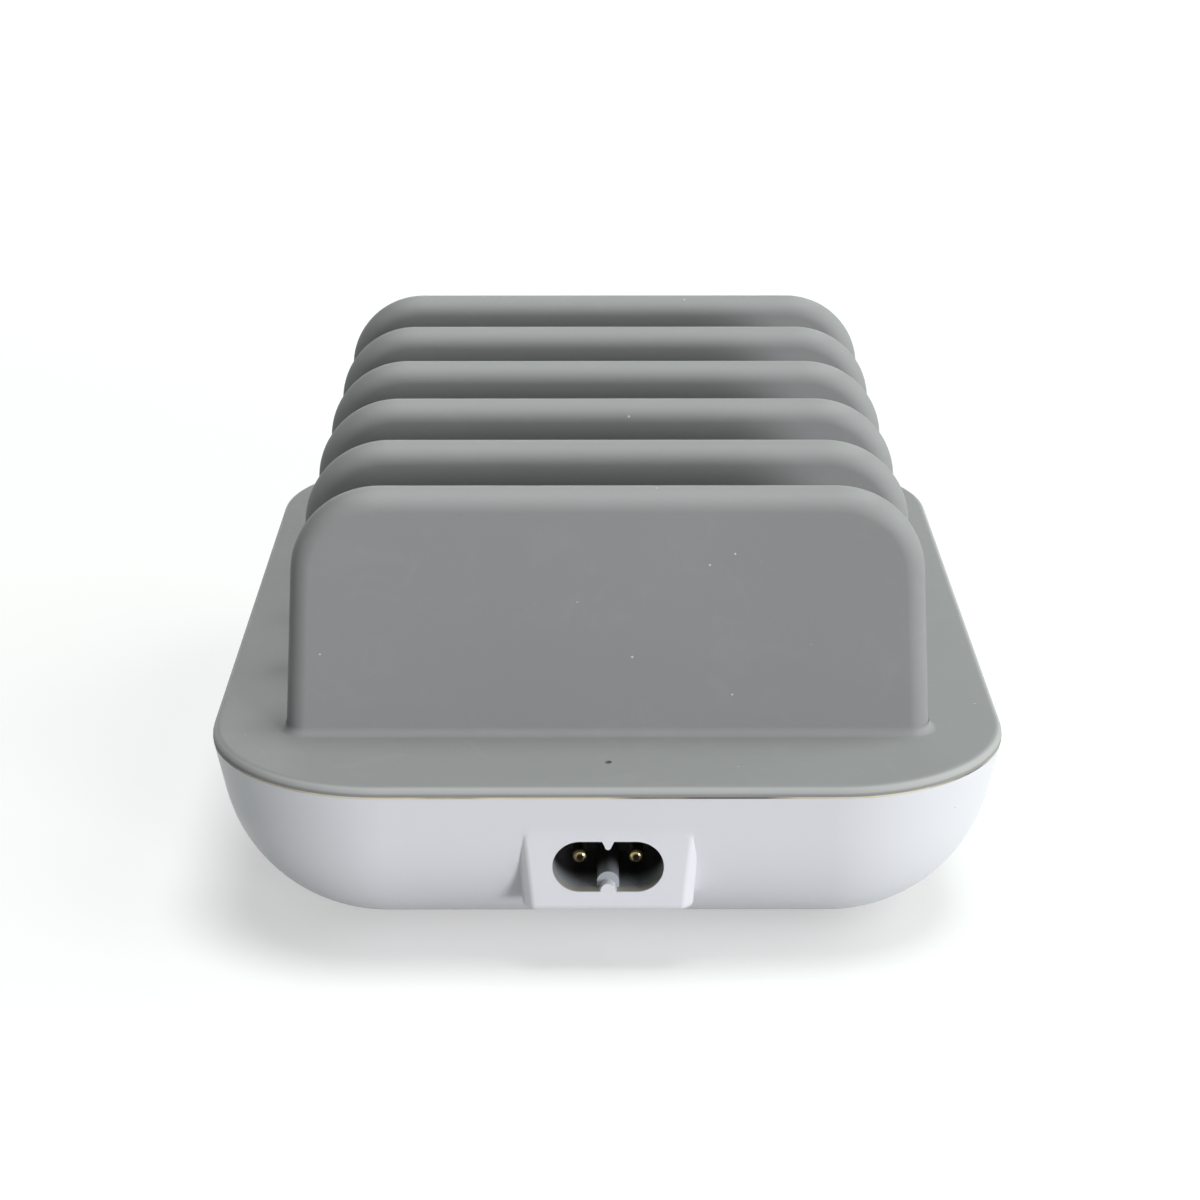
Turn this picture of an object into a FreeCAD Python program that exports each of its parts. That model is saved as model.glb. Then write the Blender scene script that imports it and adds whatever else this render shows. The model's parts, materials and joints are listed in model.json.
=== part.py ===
import FreeCAD, Part
import math
import os
import Sketcher

# Charging station organizer: a bowl-shaped base with a mains inlet at the rear and charging sockets at the
# front, under a soft cover whose upright fins hold the devices apart. Millimetres. The origin is on the
# floor under the middle of the base, +X to the right seen from the rear, +Y towards the sockets, +Z up.

FIN_COUNT = 6
PORT_COUNT = 5
CONTACT_COUNT = 4
OUTPUT_CAP_COUNT = 4

SIZES = {
    # Base: a bowl whose wall leans inwards and turns under in one arc
    "base_width": 125.3,
    "base_length": 165.6,
    "base_height": 29.0,
    "wall": 2.2,
    "wall_lean": 11.5,
    "bowl_radius": 26.0,
    "sole_corner": 0.9,
    "fit_gap": 0.15,
    "glue_thickness": 0.25,
    # Soft cover with its fins
    "cover_thickness": 1.5,
    "rim_round": 1.2,
    "lip_depth": 3.0,
    "lip_thickness": 1.4,
    "rear_margin": 24.2,
    "front_margin": 19.4,
    "side_margin": 11.95,
    "fin_height": 39.75,
    "fin_thickness": 7.0,
    "fin_draft": 3.4,
    "fin_corner": 14.0,
    "fin_round": 3.2,
    "fin_root_round": 1.2,
    "fin_skin": 1.8,
    "gate_diameter": 1.2,
    "gate_depth": 1.0,
    "gate_setback": 10.0,
    # Rigid deck under the cover
    "deck_thickness": 2.0,
    "deck_boss_diameter": 8.0,
    # Feet, posts and screws
    "foot_rise": 1.2,
    "foot_diameter": 12.0,
    "foot_recess": 1.0,
    "foot_margin": 0.6,
    "foot_round": 0.5,
    "post_diameter": 9.0,
    "post_rise": 4.0,
    "post_gap": 0.6,
    "head_seat": 5.0,
    "case_head_diameter": 5.6,
    "case_head_height": 2.2,
    "case_shank": 3.0,
    "case_bite": 7.0,
    "screw_gap": 0.2,
    "thread_gap": 0.05,
    "pilot_spare": 0.8,
    "standoff_share_x": 0.483,
    "standoff_share_y": 0.652,
    "standoff_diameter": 6.0,
    "board_head_diameter": 4.6,
    "board_head_height": 1.8,
    "board_shank": 2.4,
    "board_bite": 5.0,
    # Mains inlet and its boss
    "boss_inset": 1.15,
    "boss_top_drop": 4.3,
    "boss_flare": 50.0,
    "boss_flare_depth": 1.35,
    "boss_draft": 3.5,
    "boss_round": 1.2,
    "inlet_drop": 12.05,
    "inlet_boss_width": 22.8,
    "inlet_boss_below": 7.6,
    "inlet_lip": 1.8,
    "inlet_width": 17.0,
    "inlet_height": 8.4,
    "top_key_width": 2.0,
    "top_key_height": 1.35,
    "bottom_key_width": 2.3,
    "bottom_key_height": 1.35,
    "rib_width": 3.4,
    "rib_height": 2.6,
    "inlet_body_width": 20.0,
    "inlet_body_height": 10.4,
    "inlet_body_length": 18.8,
    "inlet_depth": 12.8,
    "pin_spacing": 8.6,
    "pin_diameter": 2.4,
    "pin_recess": 3.4,
    "pin_tail": 2.0,
    "pin_round": 0.9,
    # Charging sockets and their boss
    "port_pitch": 13.8,
    "port_width": 13.2,
    "port_height": 5.8,
    "port_sheet": 0.3,
    "port_length": 17.5,
    "port_recess": 0.4,
    "port_side": 2.4,
    "port_boss_below": 6.0,
    "tongue_block": 6.5,
    "tongue_width": 11.1,
    "tongue_thickness": 1.84,
    "tongue_raise": 0.9,
    "tongue_setback": 0.9,
    "contact_pitch": 2.3,
    "contact_width": 1.2,
    "contact_thickness": 0.2,
    "contact_setback": 1.0,
    # Circuit board and what stands on it: shares are of the room between the posts and the board's edges
    "board_thickness": 1.6,
    "board_gap": 1.2,
    "row_gap": 2.5,
    "part_gap": 4.0,
    "fuse_diameter": 5.2,
    "fuse_share": 0.58,
    "filter_cap_share": 0.5,
    "filter_cap_width": 8.5,
    "filter_cap_height": 11.0,
    "varistor_share": 0.64,
    "varistor_thickness": 4.0,
    "choke_share": 0.65,
    "choke_height": 10.5,
    "choke_leg_share": 0.385,
    "choke_flange": 1.6,
    "choke_winding_inset": 0.6,
    "bridge_share": 0.78,
    "bridge_width": 3.6,
    "bridge_height": 9.5,
    "bulk_diameter": 10.0,
    "bulk_setback": 10.0,
    "bulk_share": 0.6,
    "bulk_start_share": 0.325,
    "sink_thickness": 2.0,
    "sink_share": 0.65,
    "sink_height": 11.0,
    "sink_setback": 6.5,
    "sink_place_share": 0.425,
    "chip_thickness": 4.6,
    "chip_share": 0.4,
    "chip_height": 10.0,
    "core_width": 28.0,
    "core_depth_share": 0.275,
    "core_height": 11.4,
    "core_leg": 7.0,
    "core_yoke": 2.2,
    "core_side": 4.0,
    "core_middle_x": 6.0,
    "core_place_share": 0.35,
    "bobbin_wall": 0.8,
    "winding_gap": 1.3,
    "safety_cap_diameter": 8.0,
    "safety_cap_thickness": 4.0,
    "coupler_length": 9.0,
    "coupler_width": 6.5,
    "coupler_height": 3.5,
    "bridge_gap_x": 24.0,
    "bridge_gap_y": 7.0,
    "output_cap_height": 10.5,
    "output_cap_gap": 2.0,
    "controller_length": 5.0,
    "controller_width": 4.0,
    "controller_height": 1.5,
    "controller_gap": 3.0,
}

# Places that follow from the sizes: heights from the underside of the base, and insets from its outline
PLACES = {
    "lean_slope": "=tan(sizes.wall_lean)",
    "rim_z": "=sizes.base_height - sizes.glue_thickness",
    "straight_drop": "=rim_z - sizes.bowl_radius * (1 - sin(sizes.wall_lean))",
    "straight_inset": "=straight_drop * lean_slope",
    "sole_inset": "=straight_inset + sizes.bowl_radius * cos(sizes.wall_lean)",
    "corner_radius": "=sole_inset + sizes.sole_corner",
    "inner_radius": "=sizes.bowl_radius - sizes.wall",
    "rim_width": "=sizes.wall / cos(sizes.wall_lean)",
    "seam_z": "=sizes.foot_rise + sizes.base_height",
    "lip_inset": "=rim_width + sizes.lip_depth * lean_slope + sizes.fit_gap",
    "lip_inner": "=lip_inset + sizes.lip_thickness",
    "deck_inset": "=lip_inner + sizes.fit_gap",
    "fin_top": "=sizes.cover_thickness + sizes.fin_height",
    "fin_foot_half": "=sizes.base_width / 2 - sizes.side_margin",
    "fin_slope": "=tan(sizes.fin_draft)",
    "fin_span": "=sizes.base_length - sizes.rear_margin - sizes.front_margin",
    "first_fin_y": "=sizes.rear_margin - sizes.base_length / 2",
    "core_inset": "=sizes.fin_skin + sizes.fit_gap",
    "boss_top": "=sizes.base_height - sizes.boss_top_drop",
    "inlet_z": "=sizes.base_height - sizes.inlet_drop",
    "inlet_face": "=sizes.boss_inset + sizes.inlet_lip",
    "inlet_boss_z": "=inlet_z - sizes.inlet_boss_below",
    "inlet_boss_reach": "=sizes.bowl_radius ^ 2 - (sizes.bowl_radius - inlet_boss_z) ^ 2",
    "inlet_boss_back": "=sole_inset - sqrt(inlet_boss_reach) + sizes.wall / 2",
    "board_top": "=inlet_z - sizes.inlet_body_height / 2",
    "board_under": "=board_top - sizes.board_thickness",
    "board_reach": "=inner_radius ^ 2 - (sizes.bowl_radius - board_under) ^ 2",
    "board_inset": "=sole_inset - sqrt(board_reach) + sizes.board_gap",
    "board_half_x": "=sizes.base_width / 2 - board_inset",
    "board_z": "=sizes.foot_rise + board_top",
    "port_z": "=board_top + sizes.port_height / 2",
    "port_mouth": "=sizes.boss_inset + sizes.port_recess",
    "port_back_y": "=sizes.base_length / 2 - port_mouth - sizes.port_length",
    "port_boss_z": "=port_z - sizes.port_boss_below",
    "port_boss_reach": "=sizes.bowl_radius ^ 2 - (sizes.bowl_radius - port_boss_z) ^ 2",
    "port_boss_back": "=sole_inset - sqrt(port_boss_reach) + sizes.wall / 2",
    "foot_inset": "=sole_inset + sizes.foot_diameter / 2 + sizes.foot_margin",
    "foot_x": "=sizes.base_width / 2 - foot_inset",
    "foot_y": "=sizes.base_length / 2 - foot_inset",
    "post_top": "=board_top + sizes.post_rise",
    "deck_boss_length": "=sizes.base_height - sizes.deck_thickness - post_top",
    "standoff_x": "=sizes.standoff_share_x * foot_x",
    "standoff_y": "=sizes.standoff_share_y * foot_y",
    "post_edge": "=sizes.post_diameter / 2 + sizes.post_gap",
    "post_keep": "=post_edge + sizes.part_gap",
    "middle_room": "=foot_x - post_keep",
    "length_room": "=foot_y - post_keep",
    "side_room": "=board_half_x - foot_x - post_keep",
    "side_middle": "=foot_x + post_keep + side_room / 2",
    "row_room": "=board_half_x - sizes.inlet_body_width / 2 - 2 * sizes.part_gap",
    "mains_row_y": "=-(foot_y + post_edge + sizes.row_gap + sizes.filter_cap_width / 2)",
    "filter_cap_length": "=sizes.filter_cap_share * row_room",
    "varistor_diameter": "=sizes.varistor_share * side_room",
    "choke_diameter": "=sizes.choke_share * middle_room",
    "choke_leg": "=sizes.choke_leg_share * choke_diameter",
    "core_depth": "=sizes.core_depth_share * length_room",
    "core_middle_y": "=-sizes.core_place_share * length_room",
    "window_width": "=(sizes.core_width - sizes.core_leg) / 2 - sizes.core_side",
    "window_height": "=sizes.core_height - 2 * sizes.core_yoke",
    "sleeve_wall": "=sizes.fit_gap + sizes.bobbin_wall + sizes.thread_gap",
    "winding_thickness": "=window_width - sleeve_wall - sizes.winding_gap",
    "output_cap_pitch": f"=2 * middle_room / {OUTPUT_CAP_COUNT}",
}

LEFT = "left"
RIGHT = "right"
REAR = 1
FRONT = -1
FOOT_CORNERS = {"rear_left": (-1, -1), "rear_right": (1, -1), "front_right": (1, 1), "front_left": (-1, 1)}
AXIS_TURNS = {
    "X": FreeCAD.Rotation(FreeCAD.Vector(0, 1, 0), 90),
    "Y": FreeCAD.Rotation(FreeCAD.Vector(1, 0, 0), -90),
    "Z": FreeCAD.Rotation(),
}
TOLERANCE = 1e-4
FLANK_TURN = 0.3

doc = FreeCAD.newDocument("charging_station")
subparts = []


def fill_sheet(name, cells):
    """One row for each size: its name, and its value under that alias."""
    sheet = doc.addObject("Spreadsheet::Sheet", name)
    for row, (alias, content) in enumerate(cells.items(), start=1):
        sheet.set(f"A{row}", alias)
        sheet.set(f"B{row}", str(content))
        sheet.setAlias(f"B{row}", alias)
    doc.recompute()
    return sheet


def bind(obj, formulas):
    """Tie properties of an object to the sheets."""
    for name, formula in formulas.items():
        obj.setExpression(name, formula)


def put(obj, x, y, z):
    """Tie the place of an object to the sheets."""
    bind(obj, {"Placement.Base.x": x, "Placement.Base.y": y, "Placement.Base.z": z})


def subpart(obj, label):
    """Enter an object as a piece of the assembly."""
    obj.Label = label
    subparts.append(obj)
    return obj


# Sketches and features


def new_body(name, x="0", y="0", z="0"):
    body = doc.addObject("PartDesign::Body", name + "_body")
    put(body, x, y, z)
    return subpart(body, name)


def origin_feature(body, role):
    return next(item for item in body.Origin.OriginFeatures if item.Role == role)


def sketch_on(body, name, plane, offset="0"):
    """Sketch on one of the body's own planes, moved along the plane's normal."""
    sketch = body.newObject("Sketcher::SketchObject", name)
    sketch.AttachmentSupport = (origin_feature(body, plane), [""])
    sketch.MapMode = "FlatFace"
    sketch.setExpression("AttachmentOffset.Base.z", offset)
    return sketch


def pin_point(sketch, geometry, position, x, y):
    """Tie a point of the sketch to its distance from the origin."""
    for kind, formula in (("DistanceX", x), ("DistanceY", y)):
        value = float(sketch.evalExpression(formula))
        index = sketch.addConstraint(Sketcher.Constraint(kind, -1, 1, geometry, position, value))
        sketch.setExpression(f"Constraints[{index}]", formula)


def arc_between(start, end, radius):
    """Arc that turns left from start to end, less than a half circle."""
    chord = end - start
    height = math.sqrt(radius ** 2 - (chord.Length / 2) ** 2)
    left = FreeCAD.Vector(-chord.y, chord.x, 0).normalize()
    centre = start + chord / 2 + left * height
    angles = [math.atan2(point.y - centre.y, point.x - centre.x) for point in (start, end)]
    circle = Part.Circle(centre, FreeCAD.Vector(0, 0, 1), radius)
    return Part.ArcOfCircle(circle, angles[0], angles[1])


def add_edge(sketch, start, end, radius=None, turn=LEFT):
    """Line or arc of an outline, with the numbers of its first and last point."""
    if radius is None:
        return sketch.addGeometry(Part.LineSegment(start, end)), 1, 2
    size = float(sketch.evalExpression(radius))
    ends = (start, end) if turn == LEFT else (end, start)
    edge = sketch.addGeometry(arc_between(*ends, size))
    index = sketch.addConstraint(Sketcher.Constraint("Radius", edge, size))
    sketch.setExpression(f"Constraints[{index}]", radius)
    return (edge, 1, 2) if turn == LEFT else (edge, 2, 1)


def draw(sketch, outline):
    """Closed outline. A corner is (x, y), and where an arc leaves it also the arc's radius and turn."""
    points = []
    for corner in outline:
        x, y = (float(sketch.evalExpression(formula)) for formula in corner[:2])
        points.append(FreeCAD.Vector(x, y, 0))
    edges = []
    for index, corner in enumerate(outline):
        end = points[(index + 1) % len(points)]
        edges.append(add_edge(sketch, points[index], end, *corner[2:]))
    for index, (edge, first, _) in enumerate(edges):
        before = edges[index - 1]
        sketch.addConstraint(Sketcher.Constraint("Coincident", before[0], before[2], edge, first))
        pin_point(sketch, edge, first, *outline[index][:2])
    return sketch


def draw_circles(sketch, centres, diameter):
    for x, y in centres:
        middle = FreeCAD.Vector(*(float(sketch.evalExpression(formula)) for formula in (x, y)), 0)
        size = float(sketch.evalExpression(diameter))
        edge = sketch.addGeometry(Part.Circle(middle, FreeCAD.Vector(0, 0, 1), size / 2))
        index = sketch.addConstraint(Sketcher.Constraint("Diameter", edge, size))
        sketch.setExpression(f"Constraints[{index}]", diameter)
        pin_point(sketch, edge, 3, x, y)
    return sketch


def rectangle(left, right, bottom, top):
    return [(left, bottom), (right, bottom), (right, top), (left, top)]


def rounded_rectangle(half_x, half_y, radius):
    """Rectangle about the origin with four round corners."""
    flat_x = f"({half_x} - ({radius}))"
    flat_y = f"({half_y} - ({radius}))"
    return [
        (f"-{flat_x}", f"-({half_y})"),
        (flat_x, f"-({half_y})", radius),
        (half_x, f"-{flat_y}"),
        (half_x, flat_y, radius),
        (flat_x, half_y),
        (f"-{flat_x}", half_y, radius),
        (f"-({half_x})", flat_y),
        (f"-({half_x})", f"-{flat_y}", radius),
    ]


def plan_outline(inset):
    """The outline of the base in plan, drawn in by an inset."""
    return rounded_rectangle(
        f"(sizes.base_width / 2 - ({inset}))",
        f"(sizes.base_length / 2 - ({inset}))",
        f"(places.corner_radius - ({inset}))",
    )


def stadium(width, height):
    """Slot shape about the origin, with round ends in quarter arcs."""
    half_x = f"{width} / 2"
    radius = f"{height} / 2"
    flat = f"({half_x} - {radius})"
    return [
        (f"-{flat}", f"-{radius}"),
        (flat, f"-{radius}", radius),
        (half_x, "0", radius),
        (flat, radius),
        (f"-{flat}", radius, radius),
        (f"-{half_x}", "0", radius),
    ]


def round_rib(width, root, tip):
    """Upright rib about the vertical axis with a round tip."""
    half = f"{width} / 2"
    shoulder = f"({tip} - {half})"
    return [
        (f"-{half}", root),
        (half, root),
        (half, shoulder, half),
        ("0", tip, half),
        (f"-{half}", shoulder),
    ]


def shifted(outline, x, y):
    return [(f"{x} + {c[0]}", f"{y} + {c[1]}", *c[2:]) for c in outline]


def four_corners(x, y):
    """The four places that mirror (x, y) about both middle planes."""
    return [(f"{side} * {x}", f"{end} * {y}") for side, end in FOOT_CORNERS.values()]


def extrude(body, kind, sketch, length, side="One side", reverse=False):
    """Pad or pocket of a sketch. It stops the build if it changes nothing."""
    before = body.Shape.Volume if body.Tip else 0.0
    feature = body.newObject("PartDesign::" + kind, sketch.Name + "_" + kind.lower())
    feature.Profile = sketch
    feature.SideType = side
    feature.Reversed = reverse
    feature.setExpression("Length", length)
    doc.recompute()
    if abs(body.Shape.Volume - before) < TOLERANCE:
        raise ValueError(f"{feature.Name} changes nothing")
    return feature


def repeat_along_y(body, feature, length, count):
    """Copies of a feature at even steps along the base."""
    pattern = body.newObject("PartDesign::LinearPattern", feature.Name + "_row")
    pattern.Originals = [feature]
    pattern.Direction = (origin_feature(body, "Y_Axis"), [""])
    pattern.setExpression("Length", length)
    pattern.Occurrences = count
    body.Tip = pattern
    doc.recompute()
    return pattern


def round_edges(body, name, radius, chosen):
    """Fillet on the edges of the body that a test picks by their ends and middle."""
    base = body.Tip
    names = []
    for index, edge in enumerate(base.Shape.Edges, start=1):
        middle = edge.valueAt((edge.FirstParameter + edge.LastParameter) / 2)
        if chosen([vertex.Point for vertex in edge.Vertexes] + [middle]):
            names.append(f"Edge{index}")
    if not names:
        raise ValueError(f"{name} finds no edge")
    fillet = body.newObject("PartDesign::Fillet", name)
    fillet.Base = (base, names)
    fillet.setExpression("Radius", radius)
    doc.recompute()
    return fillet


def lean_faces(body, name, angle, chosen, neutral):
    """Mould draft, which widens the body upwards, on the faces that one test picks. They turn about the flat
    face that the other test picks."""
    base = body.Tip
    faces = list(enumerate(base.Shape.Faces, start=1))
    draft = body.newObject("PartDesign::Draft", name)
    draft.Base = (base, [f"Face{index}" for index, face in faces if chosen(face)])
    draft.NeutralPlane = (base, [f"Face{index}" for index, face in faces if neutral(face)])
    draft.setExpression("Angle", angle)
    draft.Reversed = True
    doc.recompute()
    return draft


def at_height(points, z):
    return all(abs(point.z - z) < TOLERANCE for point in points)


# Plain solids and booleans


def block(name, length, width, height, x, y, z):
    """Box with its middle over (x, y) and its underside at z."""
    solid = doc.addObject("Part::Box", name)
    bind(solid, {"Length": length, "Width": width, "Height": height})
    put(solid, f"{x} - ({length}) / 2", f"{y} - ({width}) / 2", z)
    return solid


def rod(name, diameter, length, axis, x, y, z):
    """Cylinder that starts at (x, y, z) and runs along an axis."""
    solid = doc.addObject("Part::Cylinder", name)
    solid.Placement = FreeCAD.Placement(FreeCAD.Vector(), AXIS_TURNS[axis])
    bind(solid, {"Radius": f"({diameter}) / 2", "Height": length})
    put(solid, x, y, z)
    return solid


def cut(name, base, tool):
    result = doc.addObject("Part::Cut", name)
    result.Base = base
    result.Tool = tool
    return result


def join(name, solids):
    result = doc.addObject("Part::MultiFuse", name)
    result.Shapes = solids
    return result


def group(name, solids):
    """Separate solids that share one piece's name."""
    result = doc.addObject("Part::Compound", name)
    result.Links = solids
    return result


# Base


def bowl_profile():
    """Section of the wall at the rear: it leans inwards, then turns under in an arc to the flat sole."""
    edge = "-sizes.base_length / 2"
    sole = f"{edge} + places.sole_inset"
    inner_x = f"{sole} - places.inner_radius * cos(sizes.wall_lean)"
    inner_z = "sizes.bowl_radius - places.inner_radius * sin(sizes.wall_lean)"
    return [
        (edge, "places.rim_z"),
        (f"{edge} + places.straight_inset", "places.rim_z - places.straight_drop", "sizes.bowl_radius"),
        (sole, "0"),
        (sole, "sizes.wall", "places.inner_radius", RIGHT),
        (inner_x, inner_z),
        (f"{edge} + places.rim_width", "places.rim_z"),
    ]


def add_bowl(body):
    rim = draw(sketch_on(body, "bowl_rim", "XY_Plane", "places.rim_z"), plan_outline("0"))
    profile = draw(sketch_on(body, "bowl_profile", "YZ_Plane"), bowl_profile())
    doc.recompute()
    wall = body.newObject("PartDesign::AdditivePipe", "bowl_wall")
    wall.Profile = profile
    wall.Spine = (rim, [])
    doc.recompute()
    sole = draw(sketch_on(body, "sole", "XY_Plane"), plan_outline("places.sole_inset"))
    extrude(body, "Pad", sole, "sizes.wall")


def end_plane(inset, end):
    """Offset of a sketch plane that stands across the base, inside its rear or front edge."""
    return f"({end} * (sizes.base_length / 2 - ({inset})))"


def add_boss(body, name, half, bottom, back, end):
    """Flat boss on an end wall. Its flanks flare for a little way, then run straight back, and have mould draft.
    All its edges are soft, up to the top edge, which is lost in the wall."""
    wide = f"({half} + sizes.boss_flare_depth * tan(sizes.boss_flare))"
    face = f"-{end_plane('sizes.boss_inset', end)}"
    knee = f"-{end_plane('sizes.boss_inset + sizes.boss_flare_depth', end)}"
    root = f"-{end_plane(back, end)}"
    right_side = [(half, face), (wide, knee), (wide, root)]
    left_side = [(f"-{wide}", root), (f"-{wide}", knee), (f"-{half}", face)]
    sketch = draw(sketch_on(body, name, "XY_Plane", bottom), right_side + left_side)
    extrude(body, "Pad", sketch, f"places.boss_top - {bottom}")
    face_y = float(body.evalExpression(face))
    root_y = float(body.evalExpression(root))
    lowest = float(body.evalExpression(bottom))
    highest = float(body.evalExpression("places.boss_top"))

    def is_flank(side):
        return side.CenterOfMass.y * face_y > 0 and abs(side.normalAt(0, 0).x) > FLANK_TURN

    def is_underside(side):
        return side.CenterOfMass.y * face_y > 0 and abs(side.CenterOfMass.z - lowest) < TOLERANCE

    lean_faces(body, f"{name}_draft", "sizes.boss_draft", is_flank, is_underside)

    def on_edge(points):
        this_end = all(point.y * face_y > 0 for point in points)
        at_root = all(abs(point.y - root_y) < TOLERANCE for point in points)
        return this_end and not at_root and not at_height(points, highest)

    round_edges(body, f"{name}_round", "sizes.boss_round", on_edge)


def top_key():
    """Small wedge with a round tip that points down into the inlet's opening."""
    quarter = "sizes.top_key_width / 4"
    edge = "(places.inlet_z + sizes.inlet_height / 2)"
    root = f"{edge} + sizes.fit_gap"
    tip = f"({edge} - sizes.top_key_height)"
    return [
        ("-sizes.top_key_width / 2", root),
        (f"-{quarter}", f"{tip} + {quarter}", quarter),
        ("0", tip, quarter),
        (quarter, f"{tip} + {quarter}"),
        ("sizes.top_key_width / 2", root),
    ]


def bottom_key():
    edge = "(places.inlet_z - sizes.inlet_height / 2)"
    root = f"{edge} - sizes.fit_gap"
    return round_rib("sizes.bottom_key_width", root, f"{edge} + sizes.bottom_key_height")


def add_inlet_opening(body):
    """Figure-of-eight opening through the lip of the boss, and the seat of the inlet module behind it."""
    half_x = "(sizes.inlet_body_width / 2 + sizes.fit_gap)"
    half_z = "(sizes.inlet_body_height / 2 + sizes.fit_gap)"
    seat = rectangle(f"-{half_x}", half_x, f"places.inlet_z - {half_z}", f"places.inlet_z + {half_z}")
    seat_plane = end_plane("places.inlet_face", REAR)
    extrude(body, "Pocket", draw(sketch_on(body, "inlet_seat", "XZ_Plane", seat_plane), seat),
            "sizes.inlet_body_length")
    face = end_plane("sizes.boss_inset", REAR)
    opening = shifted(stadium("sizes.inlet_width", "sizes.inlet_height"), "0", "places.inlet_z")
    extrude(body, "Pocket", draw(sketch_on(body, "inlet_opening", "XZ_Plane", face), opening),
            "sizes.inlet_lip + sizes.wall")
    for name, outline in (("top_key", top_key()), ("bottom_key", bottom_key())):
        key = draw(sketch_on(body, name, "XZ_Plane", face), outline)
        extrude(body, "Pad", key, "sizes.inlet_lip", reverse=True)


def port_x(index):
    return f"({index - (PORT_COUNT - 1) / 2} * sizes.port_pitch)"


def add_port_openings(body):
    sketch = sketch_on(body, "port_openings", "XZ_Plane", end_plane("sizes.boss_inset", FRONT))
    half_x = "(sizes.port_width / 2 + sizes.fit_gap)"
    half_z = "(sizes.port_height / 2 + sizes.fit_gap)"
    for index in range(PORT_COUNT):
        x = port_x(index)
        draw(sketch, rectangle(f"{x} - {half_x}", f"{x} + {half_x}",
                               f"places.port_z - {half_z}", f"places.port_z + {half_z}"))
    extrude(body, "Pocket", sketch, "sizes.port_length", reverse=True)


def add_posts(body):
    """Screw posts over the feet, with their wells, and standoffs under the board."""
    feet = four_corners("places.foot_x", "places.foot_y")
    stands = four_corners("places.standoff_x", "places.standoff_y")
    posts = draw_circles(sketch_on(body, "posts", "XY_Plane"), feet, "sizes.post_diameter")
    extrude(body, "Pad", posts, "places.post_top")
    standoffs = draw_circles(sketch_on(body, "standoffs", "XY_Plane"), stands, "sizes.standoff_diameter")
    extrude(body, "Pad", standoffs, "places.board_under")
    bores = (
        ("foot_recesses", "sizes.foot_diameter + 2 * sizes.fit_gap", "sizes.foot_recess"),
        ("head_wells", "sizes.case_head_diameter + 2 * sizes.screw_gap", "sizes.head_seat"),
        ("screw_ways", "sizes.case_shank + 2 * sizes.screw_gap", "places.post_top"),
    )
    for name, diameter, depth in bores:
        sketch = draw_circles(sketch_on(body, name, "XY_Plane"), feet, diameter)
        extrude(body, "Pocket", sketch, depth, reverse=True)
    pilots = sketch_on(body, "board_pilots", "XY_Plane", "places.board_under")
    draw_circles(pilots, stands, "sizes.board_shank + 2 * sizes.thread_gap")
    extrude(body, "Pocket", pilots, "sizes.board_bite + sizes.pilot_spare")


def make_base_shell():
    """The bosses come first, so that their faces are rounded before the wall of the bowl takes them in."""
    body = new_body("base_shell", z="sizes.foot_rise")
    body.AllowCompound = True
    add_boss(body, "inlet_boss", "sizes.inlet_boss_width / 2", "places.inlet_boss_z",
             "places.inlet_boss_back", REAR)
    port_half = f"({(PORT_COUNT - 1) / 2} * sizes.port_pitch + sizes.port_width / 2 + sizes.port_side)"
    add_boss(body, "port_boss", port_half, "places.port_boss_z", "places.port_boss_back", FRONT)
    add_bowl(body)
    add_inlet_opening(body)
    add_port_openings(body)
    add_posts(body)


def make_feet():
    for corner, (side, end) in FOOT_CORNERS.items():
        body = new_body(f"foot_{corner}", f"{side} * places.foot_x", f"{end} * places.foot_y")
        disc = sketch_on(body, f"disc_{corner}", "XY_Plane")
        draw_circles(disc, [("0", "0")], "sizes.foot_diameter")
        extrude(body, "Pad", disc, "sizes.foot_rise + sizes.foot_recess")
        round_edges(body, f"round_{corner}", "sizes.foot_round", lambda points: at_height(points, 0))


# Cover and deck


def fin_outline(foot_half, foot_z, top, corner):
    """Fin seen from the rear: sides that lean inwards and two large round corners."""
    tip = f"({foot_half} - ({top} - ({foot_z})) * places.fin_slope)"
    run = f"{corner} / tan(45 + sizes.fin_draft / 2)"
    side_x = f"({tip} + {run} * sin(sizes.fin_draft))"
    side_z = f"{top} - {run} * cos(sizes.fin_draft)"
    return [
        (f"-{foot_half}", foot_z),
        (foot_half, foot_z),
        (side_x, side_z, corner),
        (f"({tip} - {run})", top),
        (f"-({tip} - {run})", top, corner),
        (f"-{side_x}", side_z),
    ]


def inner_fin_outline(inset):
    """Fin drawn in by an inset and carried down to the seam."""
    half = "places.fin_foot_half + sizes.cover_thickness * places.fin_slope"
    return fin_outline(
        f"({half} - ({inset}) / cos(sizes.fin_draft))",
        "0",
        f"(places.fin_top - ({inset}))",
        f"(sizes.fin_corner - ({inset}))",
    )


def add_fins(body, kind, name, outline, thickness):
    sketch = draw(sketch_on(body, name, "XZ_Plane", "-places.first_fin_y"), outline)
    first = extrude(body, kind, sketch, thickness, side="Symmetric")
    repeat_along_y(body, first, "places.fin_span", FIN_COUNT)


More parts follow.
